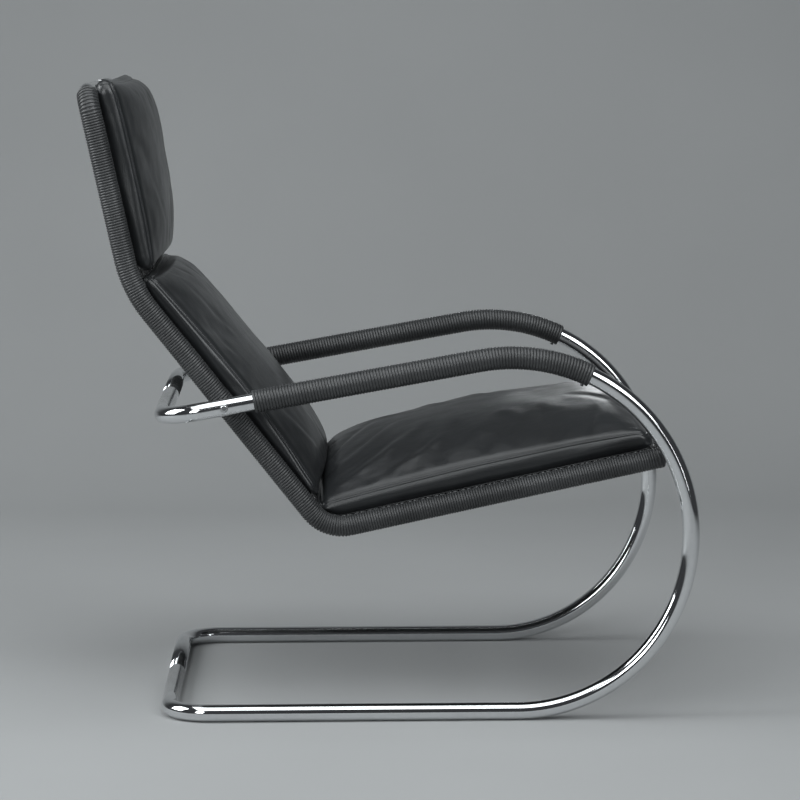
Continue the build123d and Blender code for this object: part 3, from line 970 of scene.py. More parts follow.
class WebTree(Sprout):
    """Cords woven flat over and under each other, bent onto a guide line."""

    POINTS_PER_BAND = 6.0
    POINTS_PER_CROSSING = 4.0
    CORD_STEP = 2.05
    EDGE_SETBACK = 1.8
    SPARE_BAND = 0.2

    def __init__(self) -> None:
        """Starts the tree and reads the places of the points on flat cords."""
        super().__init__(
            "Woven web",
            Half_Width=float,
            Cord_Radius=float,
            Cross_Pitch=float,
            Band_Pitch=float,
            Cords_per_Band=int,
            Corner_Radius=float,
            Rise=float,
            Cord_Sides=int,
        )
        flat = self.add("ShaderNodeSeparateXYZ", {0: self.wire("GeometryNodeInputPosition")})
        self.s, self.y = Wire(self, flat.outputs["X"]), Wire(self, flat.outputs["Y"])
        self.total = self.guide_length()

    def row(self, count: Wire, start: Wire, step: Wire, run: Wire, points: Wire) -> Wire:
        """Copies of one straight cord, side by side, as realized curves.

        Args:
            count: How many.
            start: Place of the first.
            step: From one to the next.
            run: From a cord's start to its end.
            points: Points on each cord.

        Returns:
            The curves.
        """
        inputs = {"Count": count, "Start Location": start, "Offset": step}
        places = self.wire("GeometryNodeMeshLine", inputs, mode="OFFSET")
        line = self.wire("GeometryNodeCurvePrimitiveLine", {"End": run}, mode="POINTS")
        inputs = {"Points": places, "Instance": self.resampled(line, points)}
        placed = self.wire("GeometryNodeInstanceOnPoints", inputs)
        return self.wire("GeometryNodeRealizeInstances", {0: placed})

    def wave(self, value: Wire, period: Wire) -> Wire:
        """Cosine of a length, going over and under once in two periods."""
        return self.math("COSINE", value / period * math.pi)

    def bent(self, curves: Wire, s: Wire, y: Wire, rise: Wire | float) -> Wire:
        """Bends flat curves onto the guide line.

        Args:
            curves: The curves.
            s: Length along the guide.
            y: Place across the chair.
            rise: Height above the guide.

        Returns:
            The bent curves.
        """
        inputs = {"Curves": self.guide, "Length": s}
        at = self.add("GeometryNodeSampleCurve", inputs, mode="LENGTH", use_all_curves=True)
        middle, ahead = Wire(self, at.outputs["Position"]), Wire(self, at.outputs["Tangent"])
        up = self.vector("CROSS_PRODUCT", (0.0, 1.0, 0.0), ahead)
        lifted = self.vector("ADD", middle, self.scaled(up, rise))
        place = self.vector("ADD", lifted, self.triple(0.0, y, 0.0))
        return self.wire("GeometryNodeSetPosition", {"Geometry": curves, "Position": place})

    def corner_cut(self, into: Wire) -> Wire:
        """How much a rounded corner takes off.

        Args:
            into: Distance into the corner's zone.

        Returns:
            The cut.
        """
        radius = self.given["Corner Radius"]
        inside = self.math("MINIMUM", self.math("MAXIMUM", into, 0.0), radius)
        square = self.math("POWER", radius, 2.0) - self.math("POWER", inside, 2.0)
        return radius - self.math("SQRT", self.math("MAXIMUM", square, 0.0))

    def cut_short(self, y: Wire) -> Wire:
        """Lengths along the guide for cords along the chair, which end at the rounded corners."""
        edge = self.math("ABSOLUTE", y) - (self.given["Half Width"] - self.given["Corner Radius"])
        return self.s * ((self.total - self.corner_cut(edge)) / self.total)

    def woven(self) -> bpy.types.NodeTree:
        """Weaves the web.

        Returns:
            The geometry tree.
        """
        given, s, total = self.given, self.s, self.total
        half, cord, pitch = given["Half Width"], given["Cord Radius"], given["Cross Pitch"]
        band_pitch, members = given["Band Pitch"], given["Cords per Band"]

        # Cords across the chair, from rail to rail
        count = self.math("FLOOR", total / pitch)
        bands = half * 2.0 / band_pitch
        start, across = self.triple(pitch * 0.5, half * -1.0), self.triple(0.0, half * 2.0)
        cross = self.row(count, start, self.triple(pitch), across, bands * self.POINTS_PER_BAND)
        cut = self.corner_cut(s - (total - given["Corner Radius"]))
        cross_y = self.y * ((half - cut) / half)
        over = self.wave(s - pitch * 0.5, pitch) * self.wave(cross_y, band_pitch)
        cross_cords = self.bent(cross, s, cross_y, over * given["Rise"])

        # Bands of cords along the chair, woven through them
        band_count = self.math("FLOOR", bands + self.SPARE_BAND)
        points = count * self.POINTS_PER_CROSSING
        layout = (self.triple(), self.triple(0.0, 1.0), self.triple(total), points)
        order = self.math("ROUND", self.y)
        band = self.math("FLOOR", (order + 0.5) / members)
        member = order - band * members
        band_place = band - self.math("FLOOR", (band_count - 1.0) * 0.5)
        member_place = member - (members - 1.0) * 0.5
        long_y = band_place * band_pitch + member_place * (cord * self.CORD_STEP)
        long_s = self.cut_short(long_y)
        under = self.wave(long_s - pitch * 0.5, pitch) * self.math("COSINE", band_place * math.pi)
        long_run = self.row(band_count * members, *layout)
        long_cords = self.bent(long_run, long_s, long_y, under * given["Rise"] * -1.0)

        # One more band beside each rail, which closes the web's edges
        side = self.math("SIGN", order + 0.5 - members)
        edge_y = side * (half - cord * (member * self.CORD_STEP + self.EDGE_SETBACK))
        edge_run = self.row(members * 2.0, *layout)
        edge_cords = self.bent(edge_run, self.cut_short(edge_y), edge_y, 0.0)
        cords = self.joined(cross_cords, long_cords, edge_cords)
        return self.finish(self.swept(cords, cord, given["Cord Sides"]))


# ---------------------------------------------------------------- the chair's lines
@dataclass
class ChairLines:
    """Centre-lines of the tubes, worked out from the same sizes as the solids."""

    depth: float = 0.9875
    frame_half: float = 0.311
    rail_half: float = 0.277
    tube_radius: float = 0.014
    bow_lower_radius: float = 0.274
    bow_lower_turn: float = 50.5
    bow_upper_radius: float = 0.2885
    arm_slope: float = 10.1
    rear_corner_radius: float = 0.065
    floor_loop_inset: float = 0.120
    arm_loop_inset: float = 0.1145
    rail_radius: float = 0.0125
    rail_low_height: float = 0.3045
    seat_slope: float = 12.1
    back_lean: float = 38.2
    head_lean: float = 12.2
    back_run: float = 0.4979
    head_run: float = 0.3185
    seat_bend_radius: float = 0.062
    head_bend_radius: float = 0.208
    front_elbow_radius: float = 0.030
    top_elbow_radius: float = 0.035
    front_rail_lead: float = 0.003
    cord_build: float = 0.0046
    arm_winding_joint_gap: float = 0.0473
    arm_winding_front_heading: float = 154.0
    front_cord_turn: float = 21.0
    top_cord_turn: float = 58.0
    rail_winding_top_turn: float = 47.5
    web_height: float = 0.0077
    web_thickness: float = 0.005
    web_split: float = 0.045
    soft_gap: float = 0.0003

    def __post_init__(self) -> None:
        """Works out the corners, centres and headings of the side profile."""
        self.arm_heading = 180 + self.arm_slope
        self.rail_winding_radius = self.rail_radius + self.cord_build
        self.arm_winding_radius = self.tube_radius + self.cord_build
        front = self.depth / 2
        change = heading(self.bow_lower_turn - 90)
        self.upper_centre = Vector((front - self.tube_radius - self.bow_upper_radius, 0, 0))
        growth = self.bow_upper_radius - self.bow_lower_radius
        self.lower_centre = self.upper_centre + change * growth
        lift = Vector((0, 0, self.tube_radius + self.bow_lower_radius - self.lower_centre.z))
        self.lower_centre += lift
        self.upper_centre += lift
        self.bow_start = self.lower_centre - Vector((0, 0, self.bow_lower_radius))
        self.arm_start = self.upper_centre + heading(self.arm_heading - 90) * self.bow_upper_radius
        arm = heading(self.arm_heading)
        floor_rear_x = self.floor_loop_inset + self.tube_radius - front
        self.floor_rear = Vector((floor_rear_x, 0, self.tube_radius))
        arm_rear_x = self.arm_loop_inset + self.tube_radius - front
        self.arm_rear = self.arm_start + arm * ((arm_rear_x - self.arm_start.x) / arm.x)
        self.head_direction = heading(self.head_lean - 90)
        self.back_direction = heading(self.back_lean - 90)
        self.seat_direction = heading(self.seat_slope)
        self.top_corner = self.find_top_corner(front)
        self.head_corner = self.top_corner + self.head_direction * self.head_run
        self.seat_corner = self.head_corner + self.back_direction * self.back_run
        self.front_corner = self.find_front_corner()
        self.arm_winding_end = self.find_rear_joint(arm) - arm * self.arm_winding_joint_gap

    def find_rear_joint(self, arm: Vector) -> Vector:
        """Where the arm's axis crosses the lower back's.

        Args:
            arm: The arm's direction, backwards.

        Returns:
            The crossing.
        """
        across = left_of(self.back_direction)
        run = (self.head_corner - self.arm_start).dot(across) / arm.dot(across)
        return self.arm_start + arm * run

    def find_top_corner(self, front: float) -> Vector:
        """Where the axis of the side rail meets the top cross rail.

        Args:
            front: X of the chair's foremost point.

        Returns:
            The corner, which lets the winding's rearmost turn touch the chair's rear plane.
        """
        lean = math.radians(self.head_lean)
        turn = math.sin(math.radians(self.rail_winding_top_turn))
        reach = self.rail_winding_radius * math.hypot(math.cos(lean), turn * math.sin(lean))
        drop = self.top_elbow_radius * (1 - turn)
        height = self.rail_low_height + self.back_run * math.cos(math.radians(self.back_lean))
        height += self.head_run * math.cos(lean)
        return Vector((reach - front - drop * math.sin(lean), 0, height))

    def find_front_corner(self) -> Vector:
        """Where the axes of seat rail and front cross rail meet, just beyond the bow's.

        Returns:
            The corner.
        """
        offset = self.upper_centre - self.seat_corner
        along = offset.dot(self.seat_direction)
        apart = offset.dot(left_of(self.seat_direction))
        run = along + math.sqrt(self.bow_upper_radius**2 - apart**2)
        return self.seat_corner + self.seat_direction * (run + self.front_rail_lead)

    def side_tube(self, y: float) -> list[Vector]:
        """One side tube, from the middle of the floor cross tube to that of the arms' cross tube.

        Args:
            y: Place of its plane across the chair.

        Returns:
            The tube's path.
        """
        side = Vector((0, y, 0))
        corner, turned = [self.rear_corner_radius], self.bow_lower_turn
        foot = [self.floor_rear, self.floor_rear + side, self.bow_start + side]
        lower = arc(self.lower_centre + side, self.bow_lower_radius, -90, turned)
        rest = self.arm_heading - turned
        upper = arc(self.upper_centre + side, self.bow_upper_radius, turned - 90, rest)
        arm = [self.arm_start + side, self.arm_rear + side, self.arm_rear]
        return distinct([*rounded(foot, corner), *lower, *upper, *rounded(arm, corner)])

    def rail(self, y: float) -> list[Vector]:
        """One side rail, from the middle of the front cross rail to that of the top one.

        Args:
            y: Place of its plane across the chair.

        Returns:
            The rail's path.
        """
        side = Vector((0, y, 0))
        bends = (
            (self.front_corner, self.front_elbow_radius),
            (self.seat_corner, self.seat_bend_radius),
            (self.head_corner, self.head_bend_radius),
            (self.top_corner, self.top_elbow_radius),
        )
        corners = [corner + side for corner, _ in bends]
        radii = [radius for _, radius in bends]
        return rounded([self.front_corner, *corners, self.top_corner], radii)

    def arm_winding(self, y: float) -> list[Vector]:
        """The wound part of one arm.

        Args:
            y: Place of its plane across the chair.

        Returns:
            The winding's path.
        """
        side = Vector((0, y, 0))
        start = self.arm_winding_front_heading
        turn = self.arm_heading - start
        crest = arc(self.upper_centre + side, self.bow_upper_radius, start - 90, turn)
        return [*crest, self.arm_winding_end + side]

    def rail_winding(self, y: float) -> list[Vector]:
        """The wound part of one side rail.

        Args:
            y: Place of its plane across the chair.

        Returns:
            The winding's path.
        """
        path = self.rail(y)
        front_bare = math.radians(90 - self.front_cord_turn)
        front = self.rail_half - self.front_elbow_radius + front_bare * self.front_elbow_radius
        top_bare = math.radians(90 - self.top_cord_turn)
        top = self.rail_half - self.top_elbow_radius + top_bare * self.top_elbow_radius
        return part_of(path, front, path_length(path) - top)

    def web_guide(self, corners: Sequence[Vector], radius: float) -> list[Vector]:
        """The middle of a web's thickness, along two runs of the rails.

        Args:
            corners: Start, corner and end on the rails' axes.
            radius: The rails' bend radius at the corner.

        Returns:
            The guide line's points.
        """
        height = self.web_height + self.web_thickness / 2
        first, corner, last = corners
        before = left_of((corner - first).normalized())
        after = left_of((last - corner).normalized())
        moved = corner + (before + after) * (height / (1 + before.dot(after)))
        return rounded([first + before * height, moved, last + after * height], [radius - height])


# ---------------------------------------------------------------- sub-assemblies
class Assembly:
    """What every sub-assembly has: the chair's lines, its finishes and its list of pieces."""

    def __init__(self, lines: ChairLines, palette: Palette) -> None:
        """Keeps what the pieces are made from.

        Args:
            lines: The chair's centre-lines.
            palette: Its finishes.
        """
        self.lines = lines
        self.palette = palette
        self.pieces: list[bpy.types.Object] = []

    def put(self, piece: bpy.types.Object, slot: Slot, body: Body, *nodes: str) -> bpy.types.Object:
        """Dresses a piece and lets it ride on a body in place of its nodes.

        Args:
            piece: The new piece.
            slot: Its material slot.
            body: The body that it moves with.
            *nodes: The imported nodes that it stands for.

        Returns:
            The piece.
        """
        if not piece.data.materials:
            self.palette.dress(piece, slot)
        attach(piece, body.value)
        if nodes:
            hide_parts(*nodes)
        self.pieces.append(piece)
        return piece

    def build(self) -> list[bpy.types.Object]:
        """Builds the sub-assembly's pieces."""
        raise NotImplementedError


class SprungFrame(Assembly):
    """The two side tubes, each one length of chromed tube from floor to arm."""

    BEND_START = 0.028
    BEND_END = 0.360

    def build(self) -> list[bpy.types.Object]:
        """Builds both tubes.

        Returns:
            The two pieces.
        """
        for side in Side:
            path = self.lines.side_tube(side.value * self.lines.frame_half)
            piece = tube(f"side_tube_{side.word}", path, self.lines.tube_radius)
            self.palette.dress(piece, Slot.CHROME)
            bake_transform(piece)
            nodes = (f"base_tube_{side.word}", f"bow_{side.word}", f"arm_tube_{side.word}")
            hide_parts(*nodes)
            self.pieces.append(piece)
        return self.pieces


class SeatLoop(Assembly):
    """The chromed loop of both side rails."""

    def build(self) -> list[bpy.types.Object]:
        """Builds both rails.

        Returns:
            The two pieces.
        """
        for side in Side:
            path = self.lines.rail(side.value * self.lines.rail_half)
            piece = tube(f"rail_{side.word}", path, self.lines.rail_radius)
            self.put(piece, Slot.CHROME, Body.SEAT, f"side_rail_{side.word}")
        return self.pieces


@dataclass(frozen=True)
class WindingSizes:
    """Cord and turns of one kind of winding."""

    pitch: float
    cord_radius: float
    points_per_turn: float
    cord_sides: int
    flatness: float
    unevenness: float


class CordWindings(Assembly):
    """Leather cord wound round both arms and both side rails."""

    ARM = WindingSizes(0.00488, 0.00250, 26.0, 10, 0.72, 0.00006)
    RAIL = WindingSizes(0.00422, 0.00217, 22.0, 8, 0.78, 0.00006)
    SEED = 40.0
    SEED_STEP = 7.0

    def wind(
        self, part: str, side: Side, path: Sequence[Vector], outer: float, sizes: WindingSizes
    ) -> None:
        """Winds a cord round a path.

        Args:
            part: The wound part, arm or rail.
            side: Its side of the chair.
            path: The tube's centre-line.
            outer: Radius over the turns.
            sizes: The cord and its turns.
        """
        name = f"{part}_cord_{side.word}"
        piece = grown(
            name,
            thread_line(name + "_line", path),
            self.tree,
            Winding_Radius=outer - sizes.cord_radius * sizes.flatness,
            Cord_Radius=sizes.cord_radius,
            Pitch=sizes.pitch,
            Points_per_Turn=sizes.points_per_turn,
            Cord_Sides=sizes.cord_sides,
            Flatness=sizes.flatness,
            Unevenness=sizes.unevenness,
            Seed=self.SEED + self.SEED_STEP * side.value,
            Material=self.palette.materials[Slot.CORD],
        )
        self.put(piece, Slot.CORD, Body.SEAT, f"{part}_winding_{side.word}")

    def build(self) -> list[bpy.types.Object]:
        """Builds the four windings.

        Returns:
            The four pieces.
        """
        self.tree = winding_tree()
        lines = self.lines
        for side in Side:
            arm = lines.arm_winding(side.value * lines.frame_half)
            rail = lines.rail_winding(side.value * lines.rail_half)
            self.wind("arm", side, arm, lines.arm_winding_radius, self.ARM)
            self.wind("rail", side, rail, lines.rail_winding_radius, self.RAIL)
        return self.pieces


@dataclass(frozen=True)
class WebSizes:
    """Cords of the woven webs."""

    reach: float = 0.0014
    cord_radius: float = 0.0021
    cross_pitch: float = 0.011
    band_pitch: float = 0.0436
    band_cords: int = 3
    corner_radius: float = 0.036
    rise: float = 0.0005
    cord_sides: int = 6


class CordWebs(Assembly):
    """The woven cord webs under the seat and up the back."""

    SIZES = WebSizes()

    def weave(self, name: str, corners: Sequence[Vector], radius: float, node: str) -> None:
        """Weaves one web.

        Args:
            name: The piece's name.
            corners: Start, corner and end on the rails' axes. The web's end is rounded off.
            radius: The rails' bend radius between them.
            node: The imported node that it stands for.
        """
        lines, sizes = self.lines, self.SIZES
        low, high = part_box(node)
        piece = grown(
            name,
            thread_line(name + "_line", lines.web_guide(corners, radius)),
            self.tree,
            Half_Width=(high.y - low.y) / 2 + sizes.reach,
            Cord_Radius=sizes.cord_radius,
            Cross_Pitch=sizes.cross_pitch,
            Band_Pitch=sizes.band_pitch,
            Cords_per_Band=sizes.band_cords,
            Corner_Radius=sizes.corner_radius,
            Rise=sizes.rise,
            Cord_Sides=sizes.cord_sides,
            Material=self.palette.materials[Slot.WEB],
        )
        self.put(piece, Slot.WEB, Body.SEAT, node)

    def build(self) -> list[bpy.types.Object]:
        """Builds both webs.

        Returns:
            The two pieces.
        """
        self.tree = WebTree().woven()
        lines = self.lines
        cross_room = math.sqrt(lines.rail_radius**2 - lines.web_height**2) + lines.soft_gap
        split = lines.seat_corner - lines.back_direction * lines.web_split
        front = lines.front_corner - lines.seat_direction * cross_room
        top = lines.top_corner + lines.head_direction * cross_room
        seat, back = (split, lines.seat_corner, front), (top, lines.head_corner, split)
        self.weave("seat_weave", seat, lines.seat_bend_radius, "seat_web")
        self.weave("back_weave", back, lines.head_bend_radius, "back_web")
        return self.pieces


class Fittings(Assembly):
    """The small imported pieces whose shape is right: they keep it and get their finish."""

    SLOTS = {
        "floor_spigot": Slot.SPIGOT,
        "arm_spigot": Slot.SPIGOT,
        "front_spigot": Slot.SPIGOT,
        "top_spigot": Slot.SPIGOT,
        "floor_spring_pins": Slot.PIN,
        "upper_spring_pins": Slot.PIN,
        "rear_screws": Slot.SCREW,
        "rear_cup_washers": Slot.SCREW,
        "rear_spacers": Slot.SPACER,
        "front_stubs": Slot.SPACER,
        "rear_inserts": Slot.INSERT,
        "winding_tacks": Slot.TACK,
        "fastener_strips": Slot.TAPE,
        "seat_cushion_zip": Slot.ZIP,
        "back_cushion_zip": Slot.ZIP,
        "head_cushion_zip": Slot.ZIP,
    }

    def __init__(
        self, lines: ChairLines, palette: Palette, nodes: dict[str, bpy.types.Object]
    ) -> None:
        """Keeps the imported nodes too.

        Args:
            lines: The chair's centre-lines.
            palette: Its finishes.
            nodes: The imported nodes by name.
        """
        super().__init__(lines, palette)
        self.nodes = nodes

    def build(self) -> list[bpy.types.Object]:
        """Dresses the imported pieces.

        Returns:
            The dressed nodes.
        """
        for name, slot in self.SLOTS.items():
            self.palette.dress(self.nodes[name], slot)
            self.pieces.append(self.nodes[name])
        return self.pieces


# ---------------------------------------------------------------- cushions
def smooth_table(
    places: Sequence[float], values: Sequence[float], at: np.ndarray
) -> np.ndarray:
    """Interpolates a short table with a smooth curve that doesn't overshoot.

    Args:
        places: Where the values are given, rising.
        values: The values.
        at: Where the curve is read.

    Returns:
        The curve's values.
    """
    x, y = np.array(places, float), np.array(values, float)
    steps = np.diff(y) / np.diff(x)
    slopes = np.zeros_like(y)
    for index in range(1, len(y) - 1):
        before, after = steps[index - 1], steps[index]
        slopes[index] = 0.0 if before * after <= 0 else 2 * before * after / (before + after)
    slopes[0], slopes[-1] = steps[0], steps[-1]
    cell = np.clip(np.searchsorted(x, at, side="right") - 1, 0, len(x) - 2)
    width = x[cell + 1] - x[cell]
    t = np.clip((at - x[cell]) / width, 0, 1)
    rise = y[cell] * (1 + 2 * t) * (1 - t) ** 2 + y[cell + 1] * t * t * (3 - 2 * t)
    return rise + width * (slopes[cell] * t * (1 - t) ** 2 - slopes[cell + 1] * t * t * (1 - t))


@dataclass(frozen=True)
class Crease:
    """A soft fold on a cushion's top: a valley with a ridge beside it.

    Its ends are shares of the cushion's half width and half length. Bow, overrun and fade
    are shares of its own length, and the ridge's sizes are shares of the valley's.
    """

    start: tuple[float, float]
    end: tuple[float, float]
    depth: float
    width: float
    bow: float = 0.06
    overrun: float = 0.15
    fade: float = 0.25
    ridge_height: float = 0.7
    ridge_place: float = 1.7
    ridge_width: float = 1.4


@dataclass
class CushionPlan:
    """Where one cushion lies, how large it is and how it is creased."""

    name: str
    origin: Vector
    direction: Vector
    start: float
    end: float
    seam: tuple[float, ...]
    middle: tuple[float, ...]
    bend: Callable[[np.ndarray], np.ndarray]
    creases: tuple[Crease, ...] = ()
    puckers: float = 0.0009
    seed: float = 0.0


@dataclass(frozen=True)
class SewnSizes:
    """Sizes that the three cushions share.

    What ends in _pace says how fast a noise changes, per metre or per radian.
    """

    half_width: float = 0.2564
    draw_in: float = 0.0030
    end_draw_in: float = 0.0030
    floor: float = 0.0130
    seam_tuck: float = 0.004
    floor_tuck: float = 0.007
    corner_radius: float = 0.017
    cell: float = 0.0064
    edge_rows: tuple[float, ...] = (
        0.0, 0.0009, 0.0018, 0.0027, 0.0036, 0.0048, 0.0064, 0.0088, 0.0122, 0.0170, 0.0230,
    )
    border_edge_rows: tuple[float, ...] = (0.0009, 0.0018, 0.0027, 0.0036, 0.0050, 0.0072)
    border_rows: int = 5
    bulge: float = 0.0072
    seam_rise: float = 0.0004
    seam_width: float = 0.0009
    stitch_place: float = 0.0027
    stitch_depth: float = 0.0013
    puff_height: float = 0.0007
    puff_place: float = 0.0110
    puff_width: float = 0.0060
    welt_reach: float = 0.0058
    welt_width: float = 0.0013
    stitch_row: int = 3
    seam_lift: float = 0.25
    crown_power: float = 2.3
    crown_fall: float = 0.85
    calm_edge: float = 0.022
    swell_height: float = 0.0022
    swell_pace: tuple[float, float] = (11.0, 9.0)
    ripple_height: float = 0.0007
    ripple_pace: tuple[float, float] = (34.0, 22.0)
    pucker_pace: tuple[float, float] = (26.0, 9.0)
    pucker_reach: float = 0.03
    bulge_low: float = 1.15
    bulge_square: float = 2.8
    border_swell_height: float = 0.0022
    border_swell_pace: tuple[float, float] = (0.07, 2.0)


class BoxCushion:
    """A boxed cushion: crowned top, bulging border, flat underside and sewn seams."""

    STATIONS = (0.0, 0.025, 0.09, 0.27, 0.5, 0.73, 0.91, 0.975, 1.0)

    def __init__(self, plan: CushionPlan, sizes: SewnSizes) -> None:
        """Lays out the grid of the cushion's top.

        Args:
            plan: This cushion's place, size and creases.
            sizes: What the cushions share.
        """
        self.plan, self.sizes = plan, sizes
        self.length = plan.end - plan.start
        self.half_length = self.length / 2
        self.across = self.spread(2 * sizes.half_width)
        self.along = self.spread(self.length)

    def spread(self, length: float) -> np.ndarray:
        """Grid lines over a length: close at both edges, even between them.

        Args:
            length: The length.

        Returns:
            The lines' places, from the middle.
        """
        rows = np.array(self.sizes.edge_rows)
        inner = length - 2 * rows[-1]
        count = max(4, round(inner / self.sizes.cell))
        middle = rows[-1] + inner * np.arange(1, count) / count
        return np.concatenate([rows, middle, length - rows[::-1]]) - length / 2

    def outline(
        self, v: np.ndarray, u: np.ndarray, tuck: float
    ) -> tuple[np.ndarray, np.ndarray]:
        """Moves grid points into the rounded outline.

        Args:
            v: Places across, from the middle.
            u: Places along, from the middle.
            tuck: How far inside the widest outline the edge lies.

        Returns:
            The moved places across and along.
        """
        sizes = self.sizes
        radius = sizes.corner_radius
        wide, long = sizes.half_width - radius, self.half_length - radius
        a = np.clip((np.abs(v) - wide) / radius, 0, 1)
        b = np.clip((np.abs(u) - long) / radius, 0, 1)
        round_a, round_b = a * np.sqrt(1 - b * b / 2), b * np.sqrt(1 - a * a / 2)
        x = np.sign(v) * (np.minimum(np.abs(v), wide) + round_a * radius)
        y = np.sign(u) * (np.minimum(np.abs(u), long) + round_b * radius)
        pulled = sizes.draw_in * (1 - np.abs(u / self.half_length) ** 3)
        end_pulled = sizes.end_draw_in * (1 - np.abs(v / sizes.half_width) ** 3)
        x = x * (sizes.half_width - tuck - pulled) / sizes.half_width
        return x, y * (self.half_length - tuck - end_pulled) / self.half_length

    def along_table(self, values: Sequence[float], u: np.ndarray) -> np.ndarray:
        """Reads one of the plan's tables at places along the cushion."""
        return smooth_table(self.STATIONS, values, (u + self.half_length) / self.length)

    def floor_height(self, u: np.ndarray) -> np.ndarray:
        """Height of the underside above the rails' axes, following the webs' bends."""
        return self.sizes.floor + self.plan.bend(self.plan.start + self.half_length + u)

    def edge_distance(self, v: np.ndarray, u: np.ndarray) -> np.ndarray:
        """Distance of a grid point from the seam."""
        return np.minimum(self.sizes.half_width - np.abs(v), self.half_length - np.abs(u))

    def seam_relief(self, distance: np.ndarray) -> np.ndarray:
        """Height of the surface near a seam: the raised seam and its sunken stitched line.

        Args:
            distance: Distance from the seam.

        Returns:
            Heights to add.
        """
        sizes = self.sizes
        seam = sizes.seam_rise * np.exp(-((distance / sizes.seam_width) ** 2))
        line = (distance - sizes.stitch_place) / sizes.seam_width
        return seam - sizes.stitch_depth * np.exp(-(line**2))

    def puff(self, distance: np.ndarray) -> np.ndarray:
        """Height of the soft roll that the top makes beyond its stitched line."""
        place = (distance - self.sizes.puff_place) / self.sizes.puff_width
        return self.sizes.puff_height * np.exp(-(place**2))

    def top_height(self, v: np.ndarray, u: np.ndarray) -> np.ndarray:
        """Height of the crowned top above the seam.

        Args:
            v: Places across.
            u: Places along.

        Returns:
            The heights.
        """
        sizes = self.sizes
        rise = self.along_table(self.plan.middle, u) - self.along_table(self.plan.seam, u)
        t = np.clip(np.abs(v) / sizes.half_width, 0, 1)
        dome = (1 - t**sizes.crown_power) ** sizes.crown_fall
        distance = self.edge_distance(v, u)
        fade = 1 - np.exp(-distance / sizes.calm_edge)
        relief = self.seam_relief(distance) + self.puff(distance)
        return rise * dome + relief + fade * self.wrinkles(v, u, distance)

    def wrinkles(self, v: np.ndarray, u: np.ndarray, distance: np.ndarray) -> np.ndarray:
        """Soft folds: broad swells, puckers off the seam and the plan's own creases.

        Args:
            v: Places across.
            u: Places along.
            distance: Distance from the seam.

        Returns:
            Heights to add.
        """
        plan, sizes = self.plan, self.sizes
        result = np.zeros_like(v)
        flat = result.ravel()
        for index, (x, y, d) in enumerate(zip(v.ravel(), u.ravel(), distance.ravel())):
            swell = self.waviness(x, y, sizes.swell_pace, 0)
            ripple = self.waviness(x, y, sizes.ripple_pace, 5)
            round_edge = math.atan2(y / self.half_length, x / sizes.half_width)
            pucker = self.waviness(round_edge, d, sizes.pucker_pace, 9)
            pucker *= plan.puckers * math.exp(-d / sizes.pucker_reach)
            flat[index] = sizes.swell_height * swell + sizes.ripple_height * ripple + pucker
        for crease in plan.creases:
            result += self.crease_depth(crease, v, u)
        return result

    def waviness(self, x: float, y: float, pace: tuple[float, float], layer: int) -> float:
        """Smooth noise, -1 to 1, which differs from layer to layer and from cushion to cushion."""
        return noise.noise((x * pace[0], y * pace[1], self.plan.seed + layer))

    def crease_depth(self, crease: Crease, v: np.ndarray, u: np.ndarray) -> np.ndarray:
        """A valley with a soft ridge beside it, along a line.

        Args:
            crease: The crease.
            v: Places across.
            u: Places along.

        Returns:
            Heights to add.
        """
        size = np.array([self.sizes.half_width, self.half_length])
        start = crease.start * size
        run = crease.end * size - start
        length = np.hypot(*run)
        run /= length
        x, y = v - start[0], u - start[1]
        s = x * run[0] + y * run[1]
        bow = crease.bow * length * np.sin(np.clip(s / length, 0, 1) * math.pi)
        off = (-x * run[1] + y * run[0] - bow) / crease.width
        beyond = np.clip(-s, 0, None) + np.clip(s - length, 0, None)
        ends = np.exp(-((beyond / (crease.fade * length)) ** 2))
        share = (s / length + crease.overrun) / (1 + 2 * crease.overrun)
        taper = np.clip(np.sin(np.clip(share, 0, 1) * math.pi), 0, 1)
        ridge_off = (off - crease.ridge_place) / crease.ridge_width
        ridge = crease.ridge_height * np.exp(-(ridge_off**2))
        return crease.depth * ends * taper * (ridge - np.exp(-(off**2)))

    def place(self, v: np.ndarray, u: np.ndarray, height: np.ndarray) -> np.ndarray:
        """Points of the chair for places on the cushion.

        Args:
            v: Places across.
            u: Places along, from the cushion's middle.
            height: Heights above the rails' axes.

        Returns:
            An array of points.
        """
        plan = self.plan
        along = plan.start + self.half_length + u
        up = left_of(plan.direction)
        points = along[..., None] * np.array(plan.direction) + height[..., None] * np.array(up)
        points += np.array(plan.origin)
        points[..., 1] += v
        return points

    def ring(self, inset: int = 0) -> list[tuple[int, int]]:
        """Grid indices of a line round the top, in order.

        Args:
            inset: How many rows it lies inside the outline.

        Returns:
            Pairs of a row and a column.
        """
        last_v, last_u = len(self.across) - 1 - inset, len(self.along) - 1 - inset
        way = [(i, inset) for i in range(inset, last_v)]
        way += [(last_v, j) for j in range(inset, last_u)]
        way += [(i, last_u) for i in range(last_v, inset, -1)]
        return way + [(inset, j) for j in range(last_u, inset, -1)]

